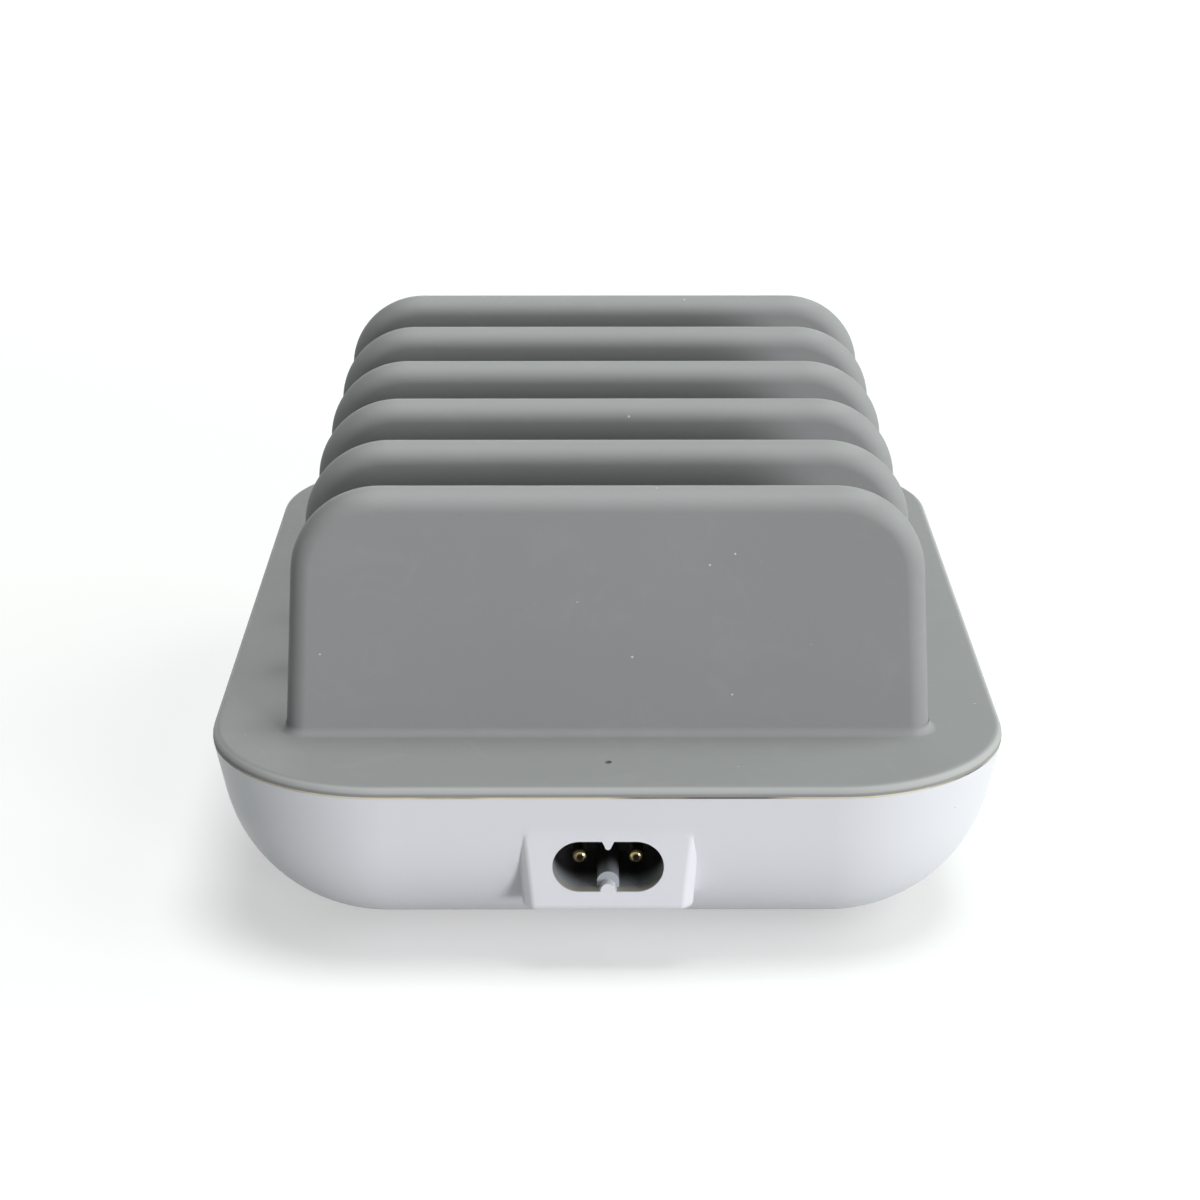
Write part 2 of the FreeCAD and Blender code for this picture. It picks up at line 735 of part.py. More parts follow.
def round_fins(body):
    """Round the rims of the fins, then blend their feet into the plate."""
    plate = float(body.evalExpression("sizes.cover_thickness"))
    reach = float(body.evalExpression("places.fin_foot_half"))
    half = float(body.evalExpression("sizes.fin_thickness / 2"))
    first = float(body.evalExpression("places.first_fin_y"))
    pitch = float(body.evalExpression(f"places.fin_span / {FIN_COUNT - 1}"))
    middles = [first + index * pitch for index in range(FIN_COUNT)]
    faces = [middle + side * half for middle in middles for side in (-1, 1)]

    def on_rim(points):
        in_face = any(all(abs(point.y - face) < TOLERANCE for point in points) for face in faces)
        return in_face and not at_height(points, plate)

    def on_foot(points):
        inside = all(abs(point.x) < reach + TOLERANCE for point in points)
        along = any(all(abs(point.y - y) < half + TOLERANCE for point in points) for y in middles)
        return at_height(points, plate) and inside and along

    round_edges(body, "fin_rims", "min(sizes.fin_round; sizes.fin_thickness / 2 - sizes.fit_gap)", on_rim)
    round_edges(body, "fin_roots", "sizes.fin_root_round", on_foot)


def make_silicone_cover():
    body = new_body("silicone_cover", z="places.seam_z")
    plate = draw(sketch_on(body, "cover_plate", "XY_Plane"), plan_outline("0"))
    extrude(body, "Pad", plate, "sizes.cover_thickness")
    top = float(body.evalExpression("sizes.cover_thickness"))
    rim_round = "min(sizes.rim_round; sizes.cover_thickness - sizes.fit_gap)"
    round_edges(body, "cover_rim", rim_round, lambda points: at_height(points, top))
    fin = fin_outline("places.fin_foot_half", "sizes.cover_thickness", "places.fin_top", "sizes.fin_corner")
    add_fins(body, "Pad", "fins", fin, "sizes.fin_thickness")
    round_fins(body)
    hollow = inner_fin_outline("sizes.fin_skin")
    add_fins(body, "Pocket", "fin_hollows", hollow, "sizes.fin_thickness - 2 * sizes.fin_skin")
    lip = draw(sketch_on(body, "cover_lip", "XY_Plane"), plan_outline("places.lip_inset"))
    draw(lip, plan_outline("places.lip_inner"))
    extrude(body, "Pad", lip, "sizes.lip_depth", reverse=True)
    gate = sketch_on(body, "gate_mark", "XY_Plane", "sizes.cover_thickness")
    draw_circles(gate, [("0", "sizes.gate_setback - sizes.base_length / 2")], "sizes.gate_diameter")
    extrude(body, "Pocket", gate, "sizes.gate_depth")


def make_adhesive_ring():
    body = new_body("adhesive_ring", z="sizes.foot_rise + places.rim_z")
    ring = draw(sketch_on(body, "glue_line", "XY_Plane"), plan_outline("sizes.fit_gap"))
    draw(ring, plan_outline("places.rim_width - sizes.fit_gap"))
    extrude(body, "Pad", ring, "sizes.glue_thickness")


def make_deck_frame():
    """Rigid plate under the cover, with a core in each fin and a screw boss over each post."""
    body = new_body("deck_frame", z="places.seam_z")
    plate = draw(sketch_on(body, "deck_plate", "XY_Plane"), plan_outline("places.deck_inset"))
    extrude(body, "Pad", plate, "sizes.deck_thickness", reverse=True)
    core = inner_fin_outline("places.core_inset")
    add_fins(body, "Pad", "fin_cores", core, "sizes.fin_thickness - 2 * places.core_inset")
    feet = four_corners("places.foot_x", "places.foot_y")
    bosses = sketch_on(body, "deck_bosses", "XY_Plane", "-sizes.deck_thickness")
    extrude(body, "Pad", draw_circles(bosses, feet, "sizes.deck_boss_diameter"), "places.deck_boss_length",
            reverse=True)
    pilots = sketch_on(body, "deck_pilots", "XY_Plane", "-(sizes.deck_thickness + places.deck_boss_length)")
    extrude(body, "Pocket", draw_circles(pilots, feet, "sizes.case_shank + 2 * sizes.thread_gap"),
            "sizes.case_bite + sizes.pilot_spare", reverse=True)


# Screws


def screw(name, head, shank, x, y):
    """Head and shank of one screw: each is a diameter, a length and the height where it starts."""
    solids = []
    for part, (diameter, length, z) in (("head", head), ("shank", shank)):
        solids.append(rod(f"{name}_{part}", diameter, length, "Z", x, y, z))
    return join(name, solids)


def make_screws():
    seat = "(sizes.foot_rise + sizes.head_seat)"
    head = ("sizes.case_head_diameter", "sizes.case_head_height", f"{seat} - sizes.case_head_height")
    shank = ("sizes.case_shank", "places.post_top + sizes.case_bite - sizes.head_seat", seat)
    feet = zip(FOOT_CORNERS, four_corners("places.foot_x", "places.foot_y"))
    solids = [screw(f"case_screw_{corner}", head, shank, *place) for corner, place in feet]
    subpart(group("case_screw_set", solids), "case_screws")
    head = ("sizes.board_head_diameter", "sizes.board_head_height", "places.board_z")
    length = "sizes.board_thickness + sizes.board_bite"
    shank = ("sizes.board_shank", length, f"places.board_z - ({length})")
    stands = zip(FOOT_CORNERS, four_corners("places.standoff_x", "places.standoff_y"))
    solids = [screw(f"board_screw_{corner}", head, shank, *place) for corner, place in stands]
    subpart(group("board_screw_set", solids), "board_screws")


# Mains inlet


def make_inlet_body():
    """Black module behind the lip: a box with the figure-of-eight well and two holes for the pins."""
    face_y = "places.inlet_face - sizes.base_length / 2"
    body = new_body("inlet_body", y=face_y, z="sizes.foot_rise + places.inlet_z")
    half_x = "sizes.inlet_body_width / 2"
    half_z = "sizes.inlet_body_height / 2"
    outline = rectangle(f"-{half_x}", half_x, f"-{half_z}", half_z)
    module = draw(sketch_on(body, "module", "XZ_Plane"), outline)
    extrude(body, "Pad", module, "sizes.inlet_body_length", reverse=True)
    well = stadium("sizes.inlet_width", "sizes.inlet_height")
    extrude(body, "Pocket", draw(sketch_on(body, "well", "XZ_Plane"), well), "sizes.inlet_depth")
    edge = "-sizes.inlet_height / 2"
    rib = round_rib("sizes.rib_width", f"{edge} - sizes.fit_gap", f"({edge} + sizes.rib_height)")
    extrude(body, "Pad", draw(sketch_on(body, "rib", "XZ_Plane"), rib), "sizes.inlet_depth", reverse=True)
    holes = [(f"{side} * sizes.pin_spacing / 2", "0") for side in (-1, 1)]
    pins = sketch_on(body, "pin_holes", "XZ_Plane")
    draw_circles(pins, holes, "sizes.pin_diameter + 2 * sizes.thread_gap")
    extrude(body, "Pocket", pins, "sizes.inlet_body_length")


def make_inlet_pins():
    start = "(sizes.boss_inset + sizes.pin_recess)"
    length = f"places.inlet_face + sizes.inlet_body_length + sizes.pin_tail - {start}"
    y = f"{start} - sizes.base_length / 2"
    z = "sizes.foot_rise + places.inlet_z"
    for name, side in (("live", -1), ("neutral", 1)):
        body = new_body(f"inlet_pin_{name}", f"{side} * sizes.pin_spacing / 2", y, z)
        disc = draw_circles(sketch_on(body, f"pin_{name}", "XZ_Plane"), [("0", "0")], "sizes.pin_diameter")
        extrude(body, "Pad", disc, length, reverse=True)
        round_edges(body, f"tip_{name}", "sizes.pin_round",
                    lambda points: all(abs(point.y) < TOLERANCE for point in points))


# Charging sockets


def make_port(index):
    """One socket: a folded metal shell on the board, an insulator with its tongue, and four contacts."""
    number = index + 1
    x = port_x(index)
    inner_width = "(sizes.port_width - 2 * sizes.port_sheet)"
    inner_height = "(sizes.port_height - 2 * sizes.port_sheet)"
    middle_y = "places.port_back_y + sizes.port_length / 2"
    outer = block(f"shell_outside_{number}", "sizes.port_width", "sizes.port_length", "sizes.port_height",
                  x, middle_y, "places.board_z")
    inner = block(f"shell_inside_{number}", inner_width, "2 * sizes.port_length", inner_height,
                  x, middle_y, "places.board_z + sizes.port_sheet")
    subpart(cut(f"shell_{number}", outer, inner), f"usb_shell_{number}")

    back = block(f"insulator_{number}", f"{inner_width} - 2 * sizes.thread_gap", "sizes.tongue_block",
                 f"{inner_height} - 2 * sizes.thread_gap", x, "places.port_back_y + sizes.tongue_block / 2",
                 "places.board_z + sizes.port_sheet + sizes.thread_gap")
    reach = "(sizes.port_length - sizes.tongue_block - sizes.tongue_setback)"
    root_y = "(places.port_back_y + sizes.tongue_block)"
    under = ("(places.board_z + sizes.port_height / 2 + sizes.tongue_raise"
             " - sizes.tongue_thickness / 2)")
    plate = block(f"plate_{number}", "sizes.tongue_width", reach, "sizes.tongue_thickness",
                  x, f"{root_y} + {reach} / 2", under)
    subpart(join(f"tongue_{number}", [back, plate]), f"usb_tongue_{number}")

    strip = f"({reach} - sizes.contact_setback)"
    contacts = []
    for contact in range(CONTACT_COUNT):
        offset = f"{contact - (CONTACT_COUNT - 1) / 2} * sizes.contact_pitch"
        contacts.append(block(f"contact_{number}_{contact + 1}", "sizes.contact_width", strip,
                              "sizes.contact_thickness", f"{x} + {offset}", f"{root_y} + {strip} / 2",
                              f"{under} - sizes.contact_thickness"))
    subpart(group(f"contact_set_{number}", contacts), f"usb_contacts_{number}")


# Circuit board and its components


def make_main_board():
    body = new_body("main_board", z="sizes.foot_rise + places.board_under")
    outline = draw(sketch_on(body, "board", "XY_Plane"), plan_outline("places.board_inset"))
    extrude(body, "Pad", outline, "sizes.board_thickness")
    holes = (
        ("post_holes", "places.foot_x", "places.foot_y", "sizes.post_diameter + 2 * sizes.post_gap"),
        ("screw_holes", "places.standoff_x", "places.standoff_y", "sizes.board_shank + 2 * sizes.screw_gap"),
    )
    for name, x, y, diameter in holes:
        sketch = draw_circles(sketch_on(body, name, "XY_Plane"), four_corners(x, y), diameter)
        extrude(body, "Pocket", sketch, "sizes.board_thickness", reverse=True)


def make_mains_side():
    """Fuse, filter, rectifier and reservoir between the inlet and the transformer."""
    top = "places.board_z"
    beside = "(sizes.inlet_body_width / 2 + sizes.part_gap)"
    subpart(rod("fuse", "sizes.fuse_diameter", "sizes.fuse_share * places.row_room", "X", beside,
                "places.mains_row_y", f"{top} + sizes.fuse_diameter / 2"), "mains_fuse")
    filter_x = f"-({beside} + places.filter_cap_length / 2)"
    subpart(block("filter_cap", "places.filter_cap_length", "sizes.filter_cap_width",
                  "sizes.filter_cap_height", filter_x, "places.mains_row_y", top), "x_capacitor")
    disc_y = "-places.foot_y - sizes.varistor_thickness / 2"
    subpart(rod("surge_disc", "places.varistor_diameter", "sizes.varistor_thickness", "Y",
                "places.side_middle", disc_y, f"{top} + places.varistor_diameter / 2"), "varistor")
    subpart(block("bridge", "sizes.bridge_share * places.side_room", "sizes.bridge_width",
                  "sizes.bridge_height", "-places.side_middle", "-places.foot_y", top), "bridge_rectifier")
    edge_x = "(places.board_half_x - sizes.bulk_setback)"
    bulk_y = "-(sizes.bulk_start_share + sizes.bulk_share) * places.length_room"
    for number in (1, 2):
        x = f"{number - 1} * (sizes.bulk_diameter + sizes.part_gap) - {edge_x}"
        subpart(rod(f"bulk_{number}", "sizes.bulk_diameter", "sizes.bulk_share * places.length_room", "Y", x,
                    bulk_y, f"{top} + sizes.bulk_diameter / 2"), f"bulk_capacitor_{number}")


def make_choke():
    """Drum core with its winding between the flanges."""
    top = "places.board_z"
    y = "-places.foot_y"
    diameter = "places.choke_diameter"
    flange = "sizes.choke_flange"
    solids = [
        rod("choke_foot", diameter, flange, "Z", "0", y, top),
        rod("choke_leg", "places.choke_leg", "sizes.choke_height", "Z", "0", y, top),
        rod("choke_cap", diameter, flange, "Z", "0", y, f"{top} + sizes.choke_height - {flange}"),
    ]
    subpart(join("choke_drum", solids), "choke_core")
    turns = f"{diameter} - 2 * sizes.choke_winding_inset"
    height = f"sizes.choke_height - 2 * {flange} - 2 * sizes.thread_gap"
    start = f"{top} + {flange} + sizes.thread_gap"
    bore = "places.choke_leg + 2 * sizes.thread_gap"
    outside = rod("choke_outside", turns, height, "Z", "0", y, start)
    inside = rod("choke_inside", bore, "sizes.choke_height", "Z", "0", y, top)
    subpart(cut("choke_turns", outside, inside), "choke_winding")


def hollow_block(name, length, width, wall, height, z):
    """Sleeve about the transformer's middle leg."""
    x = "sizes.core_middle_x"
    y = "places.core_middle_y"
    outer = block(f"{name}_outside", f"{length} + 2 * {wall}", f"{width} + 2 * {wall}", height, x, y, z)
    inner = block(f"{name}_inside", length, width, "sizes.core_height", x, y, "places.board_z")
    return cut(name, outer, inner)


def make_transformer():
    """Core with two windows, a bobbin on its middle leg and the winding on the bobbin."""
    y = "places.core_middle_y"
    sill = "places.board_z + sizes.core_yoke"
    outer = block("core_outside", "sizes.core_width", "places.core_depth", "sizes.core_height",
                  "sizes.core_middle_x", y, "places.board_z")
    windows = []
    for side in (-1, 1):
        x = f"sizes.core_middle_x + {side} * (sizes.core_leg + places.window_width) / 2"
        windows.append(block(f"window_{'left' if side < 0 else 'right'}", "places.window_width",
                             "2 * places.core_depth", "places.window_height", x, y, sill))
    subpart(cut("core", outer, join("windows", windows)), "transformer_core")
    gap = "sizes.fit_gap"
    wall = "sizes.bobbin_wall"
    height = "places.window_height"
    length = f"(sizes.core_leg + 2 * {gap})"
    width = f"(places.core_depth + 2 * {gap})"
    bobbin = hollow_block("bobbin", length, width, wall, f"{height} - {gap}", sill)
    subpart(bobbin, "transformer_bobbin")
    winding = hollow_block("turns", "(sizes.core_leg + 2 * places.sleeve_wall)",
                           "(places.core_depth + 2 * places.sleeve_wall)", "places.winding_thickness",
                           f"{height} - 2 * {wall}", f"{sill} + {wall}")
    subpart(winding, "transformer_winding")


def make_heatsinks():
    """An upright plate on each side of the board with a power device against it."""
    names = ((1, "primary_heatsink", "switch_transistor"), (-1, "secondary_heatsink", "output_rectifier"))
    for side, sink, device in names:
        x = f"{side} * (places.board_half_x - sizes.sink_setback)"
        y = f"{-side} * sizes.sink_place_share * places.length_room"
        length = "sizes.sink_share * places.length_room"
        subpart(block(f"{sink}_plate", "sizes.sink_thickness", length, "sizes.sink_height",
                      x, y, "places.board_z"), sink)
        case_x = f"{x} - {side} * (sizes.sink_thickness + sizes.chip_thickness) / 2"
        subpart(block(f"{device}_case", "sizes.chip_thickness", f"sizes.chip_share * {length}",
                      "sizes.chip_height", case_x, y, "places.board_z"), device)


def make_output_side():
    """Parts across the isolation gap, the output reservoir and one controller behind each socket."""
    top = "places.board_z"
    disc_y = "sizes.bridge_gap_y - sizes.safety_cap_thickness / 2"
    subpart(rod("safety_cap", "sizes.safety_cap_diameter", "sizes.safety_cap_thickness", "Y",
                "sizes.bridge_gap_x", disc_y, f"{top} + sizes.safety_cap_diameter / 2"), "y_capacitor")
    subpart(block("coupler", "sizes.coupler_width", "sizes.coupler_length", "sizes.coupler_height",
                  "-sizes.bridge_gap_x", "sizes.bridge_gap_y", top), "optocoupler")
    cans = []
    diameter = "places.output_cap_pitch - sizes.output_cap_gap"
    for index in range(OUTPUT_CAP_COUNT):
        x = f"{index - (OUTPUT_CAP_COUNT - 1) / 2} * places.output_cap_pitch"
        cans.append(rod(f"output_cap_{index + 1}", diameter, "sizes.output_cap_height", "Z", x,
                        "places.foot_y", top))
    subpart(group("output_cap_set", cans), "output_capacitors")
    y = "places.port_back_y - sizes.controller_gap - sizes.controller_width / 2"
    chips = []
    for index in range(PORT_COUNT):
        chips.append(block(f"controller_{index + 1}", "sizes.controller_length", "sizes.controller_width",
                           "sizes.controller_height", port_x(index), y, top))
    subpart(group("controller_set", chips), "port_controllers")


# Assembly


def check_document():
    """Stop before anything is written if an object failed or a piece is not a sound solid."""
    for obj in doc.Objects:
        if "Invalid" in obj.State or "Error" in obj.State:
            raise ValueError(f"{obj.Name} failed: {obj.getStatusString()}")
    for obj in subparts:
        shape = obj.Shape
        if shape.isNull() or not shape.isValid() or not shape.Solids:
            raise ValueError(f"{obj.Label} has no sound solid")


def write_parts():
    os.makedirs("parts", exist_ok=True)
    for obj in subparts:
        obj.Shape.exportStep(f"parts/{obj.Label}.step")


def main():
    fill_sheet("sizes", SIZES)
    fill_sheet("places", PLACES)
    make_base_shell()
    make_feet()
    make_adhesive_ring()
    make_silicone_cover()
    make_deck_frame()
    make_screws()
    make_inlet_body()
    make_inlet_pins()
    make_main_board()
    for index in range(PORT_COUNT):
        make_port(index)
    make_mains_side()
    make_choke()
    make_transformer()
    make_heatsinks()
    make_output_side()
    doc.recompute()
    check_document()
    write_parts()


main()
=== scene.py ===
# %% [markdown]
# # Charging station organizer
# A desk charger seen from its mains inlet. A pale bowl-shaped base holds the power supply, and a soft grey
# cover with six upright fins lies on it, so that phones and tablets stand in the slots between the fins.
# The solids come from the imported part. This script gives them their surfaces, light and camera.

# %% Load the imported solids
import json
import math

import bmesh
import bpy
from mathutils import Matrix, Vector


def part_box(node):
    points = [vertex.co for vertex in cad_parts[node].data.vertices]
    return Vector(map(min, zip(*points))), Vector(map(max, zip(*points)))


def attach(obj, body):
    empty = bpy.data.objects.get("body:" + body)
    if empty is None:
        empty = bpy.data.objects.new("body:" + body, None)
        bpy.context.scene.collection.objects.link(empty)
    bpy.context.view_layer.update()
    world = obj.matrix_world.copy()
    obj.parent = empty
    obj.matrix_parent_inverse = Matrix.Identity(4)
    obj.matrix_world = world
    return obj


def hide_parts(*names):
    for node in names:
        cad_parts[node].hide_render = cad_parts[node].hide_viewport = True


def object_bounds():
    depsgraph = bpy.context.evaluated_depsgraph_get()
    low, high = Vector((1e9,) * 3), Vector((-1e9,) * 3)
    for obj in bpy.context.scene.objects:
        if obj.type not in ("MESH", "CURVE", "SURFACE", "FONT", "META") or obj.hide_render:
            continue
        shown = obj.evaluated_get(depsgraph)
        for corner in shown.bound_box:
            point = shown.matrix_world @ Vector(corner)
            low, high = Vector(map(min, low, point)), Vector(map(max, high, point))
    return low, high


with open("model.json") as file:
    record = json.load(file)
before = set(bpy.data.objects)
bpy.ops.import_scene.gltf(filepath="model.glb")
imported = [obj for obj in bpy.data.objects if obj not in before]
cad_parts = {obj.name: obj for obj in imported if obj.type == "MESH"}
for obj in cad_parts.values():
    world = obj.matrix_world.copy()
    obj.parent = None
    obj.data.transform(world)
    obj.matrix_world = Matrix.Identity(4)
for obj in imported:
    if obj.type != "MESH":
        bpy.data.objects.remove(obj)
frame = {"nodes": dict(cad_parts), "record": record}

CAD_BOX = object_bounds()
MM = 0.001
SCENE = bpy.context.scene
print("solids:", len(frame["nodes"]), "box:", [round(c / MM, 1) for corner in CAD_BOX for c in corner])

# %% [markdown]
# ## Camera
# The picture was taken with a long lens from above the inlet, looking down by about 20 degrees. The place
# and the lens were worked out from the edges of the fins and the base, so the render can be laid over the
# picture. A longer lens further away would flatten the row of fins too much.

# %% Camera
LENS_MM = 84.0
SENSOR_MM = 36.0
CAMERA_PLACE_MM = (-2.1, -467.75, 201.64)
CAMERA_PITCH_DEG = 19.97
CAMERA_YAW_DEG = -0.128

camera_data = bpy.data.cameras.new("camera")
camera_data.lens = LENS_MM
camera_data.sensor_width = SENSOR_MM
camera = bpy.data.objects.new("camera", camera_data)
camera.location = Vector(CAMERA_PLACE_MM) * MM
camera.rotation_euler = (math.radians(90 - CAMERA_PITCH_DEG), 0, math.radians(CAMERA_YAW_DEG))
SCENE.collection.objects.link(camera)
SCENE.camera = camera
SCENE.view_settings.view_transform = "Standard"
print("camera:", [round(c, 3) for c in camera.location])

# %% [markdown]
# ## Node helper
# Every finish below is a small tree of shader nodes, and every made shape a small tree of geometry nodes. One
# function adds a node, sets what it is told to set, and joins its inputs to nodes that were made before.
# Colours are written as hex values, as a paint program shows them, and one more function turns them to the
# linear values that the shader works in.


# %% Helpers for node trees
def colour(text):
    """Linear RGBA of an sRGB hex value such as #9fa1a2."""
    channels = [int(text[i:i + 2], 16) / 255 for i in (1, 3, 5)]
    linear = [c / 12.92 if c <= 0.04045 else ((c + 0.055) / 1.055) ** 2.4 for c in channels]
    return (*linear, 1.0)


def add_node(tree, kind, settings=None, links=None):
    """Add a node. Settings are its properties or inputs. Links join an input to (node, output), or a list."""
    node = tree.nodes.new(kind)
    for key, value in (settings or {}).items():
        if isinstance(key, str) and hasattr(node, key):
            setattr(node, key, value)
        else:
            node.inputs[key].default_value = value
    for key, sources in (links or {}).items():
        for source, output in sources if isinstance(sources, list) else [sources]:
            tree.links.new(source.outputs[output], node.inputs[key])
    return node


def new_tree(name):
    """Empty node tree of a new material."""
    material = bpy.data.materials.new(name)
    material.use_nodes = True
    material.node_tree.nodes.clear()
    return material, material.node_tree


print("white is", colour("#ffffff"))

# %% [markdown]
# ## Floor and light
# A studio picture on white has a large soft light, here from the right, one overhead, one low in front, a
# weak one low behind, and pale walls all round. Sun lamps with a wide angle give such soft light evenly,
# however far the floor goes. Daylight tubes are a little green beside the bluish flash in front, so each lamp
# has its tint. The floor is pale and lit like the object, so it keeps the shadow. The glow that it has for
# the camera and for reflections lifts its open parts to white.

# %% World, lamps and floor
WORLD_LEVEL = 0.14
LAMPS = {
    # name: direction towards the lamp, level, angle of the light in degrees, tint
    "key_from_right": ((0.92, 0.05, 0.30), 0.62, 80, "#effaf0"),
    "overhead": ((0.1, -0.02, 0.99), 0.59, 30, "#f6fbf9"),
    "low_front_fill": ((0.60, -0.79, 0.09), 0.73, 20, "#fcfaff"),
    "low_back_fill": ((-0.10, 1.0, 0.03), 0.34, 30, "#ffffff"),
}
FLOOR_SIZE = 6.0
FLOOR_COLOUR = "#cdcecd"
FLOOR_BOUNCE = "#a8a9a8"
FLOOR_GLOW = 0.44
WHITE = "#ffffff"


def add_seen_directly(tree):
    """Is 1 for rays from the camera, a mirror or glass, and 0 for light that falls on a surface."""
    path = add_node(tree, "ShaderNodeLightPath")
    seen = add_node(tree, "ShaderNodeMath", {"operation": "MAXIMUM"},
                    {0: (path, "Is Camera Ray"), 1: (path, "Is Glossy Ray")})
    return add_node(tree, "ShaderNodeMath", {"operation": "MAXIMUM"},
                    {0: (seen, 0), 1: (path, "Is Transmission Ray")})


world = bpy.data.worlds.new("white_room")
world.use_nodes = True
SCENE.world = world
room = world.node_tree
room.nodes.clear()
room_level = add_node(room, "ShaderNodeMapRange", {"To Min": WORLD_LEVEL, "To Max": 1.0},
                      {"Value": (add_seen_directly(room), 0)})
room_light = add_node(room, "ShaderNodeBackground", {"Color": colour(WHITE)}, {"Strength": (room_level, 0)})
add_node(room, "ShaderNodeOutputWorld", links={"Surface": (room_light, 0)})

for lamp_name, (towards, level, angle, tint) in LAMPS.items():
    lamp_data = bpy.data.lights.new(lamp_name, "SUN")
    lamp_data.energy = level * math.pi
    lamp_data.color = colour(tint)[:3]
    lamp_data.angle = math.radians(angle)
    lamp = bpy.data.objects.new(lamp_name, lamp_data)
    lamp.rotation_euler = Vector(towards).to_track_quat("Z", "Y").to_euler()
    SCENE.collection.objects.link(lamp)

floor_paint, tree = new_tree("floor_paint")
seen = add_seen_directly(tree)
floor_glow = add_node(tree, "ShaderNodeMath", {"operation": "MULTIPLY", 1: FLOOR_GLOW}, {0: (seen, 0)})
glow = add_node(tree, "ShaderNodeEmission", {"Color": colour(WHITE)}, {"Strength": (floor_glow, 0)})
floor_tone = add_node(tree, "ShaderNodeMix",
                      {"data_type": "RGBA", 6: colour(FLOOR_BOUNCE), 7: colour(FLOOR_COLOUR)}, {0: (seen, 0)})
matt = add_node(tree, "ShaderNodeBsdfDiffuse", links={"Color": (floor_tone, 2)})
both = add_node(tree, "ShaderNodeAddShader", links={0: (matt, 0), 1: (glow, 0)})
add_node(tree, "ShaderNodeOutputMaterial", links={"Surface": (both, 0)})

half = FLOOR_SIZE / 2
floor_mesh = bpy.data.meshes.new("floor")
floor_corners = [(-half, -half, 0), (half, -half, 0), (half, half, 0), (-half, half, 0)]
floor_mesh.from_pydata(floor_corners, [], [(0, 1, 2, 3)])
floor_mesh.materials.append(floor_paint)
floor = bpy.data.objects.new("floor", floor_mesh)
SCENE.collection.objects.link(floor)
print("lamps:", len(LAMPS))

# %% [markdown]
# ## Moulded finishes
# Nearly every surface here left a mould. Such a surface has three things to show: colour that drifts a
# little over centimetres, a fine grain that the mould's spark-eroded wall printed into it, and gloss that
# changes with that grain. One recipe makes them from two noise patterns whose scales are real sizes. What
# lies on top differs from piece to piece: dust and scuffs, and painted light, shade and reflection, such as
# the grey lip of the inlet. So the recipe takes it as a function that paints over the moulded colour, and
# another that softens an edge.


# %% Recipe for a moulded surface
def moulded(name, light_hex, dark_hex, roughness, grain_mm, grain_depth_mm, drift_mm=25.0, gloss_spread=0.08,
            paint_over=None, soften=None, **shader):
    """Material with drifting colour, fine grain and uneven gloss. Shader sets sockets such as IOR."""
    material, tree = new_tree(name)
    place = add_node(tree, "ShaderNodeTexCoord")
    drift = add_node(tree, "ShaderNodeTexNoise", {"Scale": 1 / (drift_mm * MM), "Detail": 3.0},
                     {"Vector": (place, "Object")})
    tone = add_node(tree, "ShaderNodeMix", {"data_type": "RGBA", 6: colour(dark_hex), 7: colour(light_hex)},
                    {0: (drift, 0)})
    if paint_over:
        tone = paint_over(tree, place, tone)
    grain = add_node(tree, "ShaderNodeTexNoise", {"Scale": 1 / (grain_mm * MM), "Detail": 2.0},
                     {"Vector": (place, "Object")})
    relief = add_node(tree, "ShaderNodeBump", {"Distance": grain_depth_mm * MM, "Strength": 1.0},
                      {"Height": (grain, 0)})
    if soften:
        tree.links.new(soften(tree, place).outputs[0], relief.inputs["Normal"])
    gloss = add_node(tree, "ShaderNodeMapRange",
                     {"To Min": roughness - gloss_spread, "To Max": roughness + gloss_spread},
                     {"Value": (grain, 0)})
    surface = add_node(tree, "ShaderNodeBsdfPrincipled", shader,
                       {"Base Color": (tone, 2), "Roughness": (gloss, 0), "Normal": (relief, 0)})
    add_node(tree, "ShaderNodeOutputMaterial", links={"Surface": (surface, 0)})
    return material


print("recipe ready")

# %% [markdown]
# ## Dust and scuffs
# A soft matt rubber holds dust, which shows as sparse pale specks, and a pale hard base shows the darker
# ones. Specks could be tiny meshes, but a cell pattern costs nothing: every cell has a middle, and the cells
# that draw a high number paint a disc round it, larger for a higher number. Scuffs are broad and faint, from
# handling. These and all later marks are painted in one way: ramps give a share from 0 to 1, and the share
# mixes a second colour into the ground.

# %% Dust and scuffs
SCUFF_SIZE_MM = 9.0
SCUFFS_FROM = 0.55
SCUFFS_FULL = 0.75
SCUFF_STRENGTH = 0.12
DUSTY_CELLS_FROM = 0.5


def add_share(tree, ramps, most=1.0, step="SMOOTHSTEP"):
    """Product of ramps. Each is a link to a value, and the numbers at which it is empty and full."""
    share = None
    for value, empty, full in ramps:
        top = most if share is None else 1.0
        ramp = add_node(tree, "ShaderNodeMapRange",
                        {"interpolation_type": step, "From Min": empty, "From Max": full, "To Max": top},
                        {"Value": value})
        if share is None:
            share = ramp
        else:
            share = add_node(tree, "ShaderNodeMath", {"operation": "MULTIPLY"}, {0: (share, 0), 1: (ramp, 0)})
    return share


def paint_where(tree, ground, hex_over, ramps, most=1.0, step="SMOOTHSTEP"):
    """Colour that goes from the ground to another where all the ramps are full."""
    share = add_share(tree, ramps, most, step)
    return add_node(tree, "ShaderNodeMix", {"data_type": "RGBA", 7: colour(hex_over)},
                    {0: (share, 0), 6: (ground, 2)})


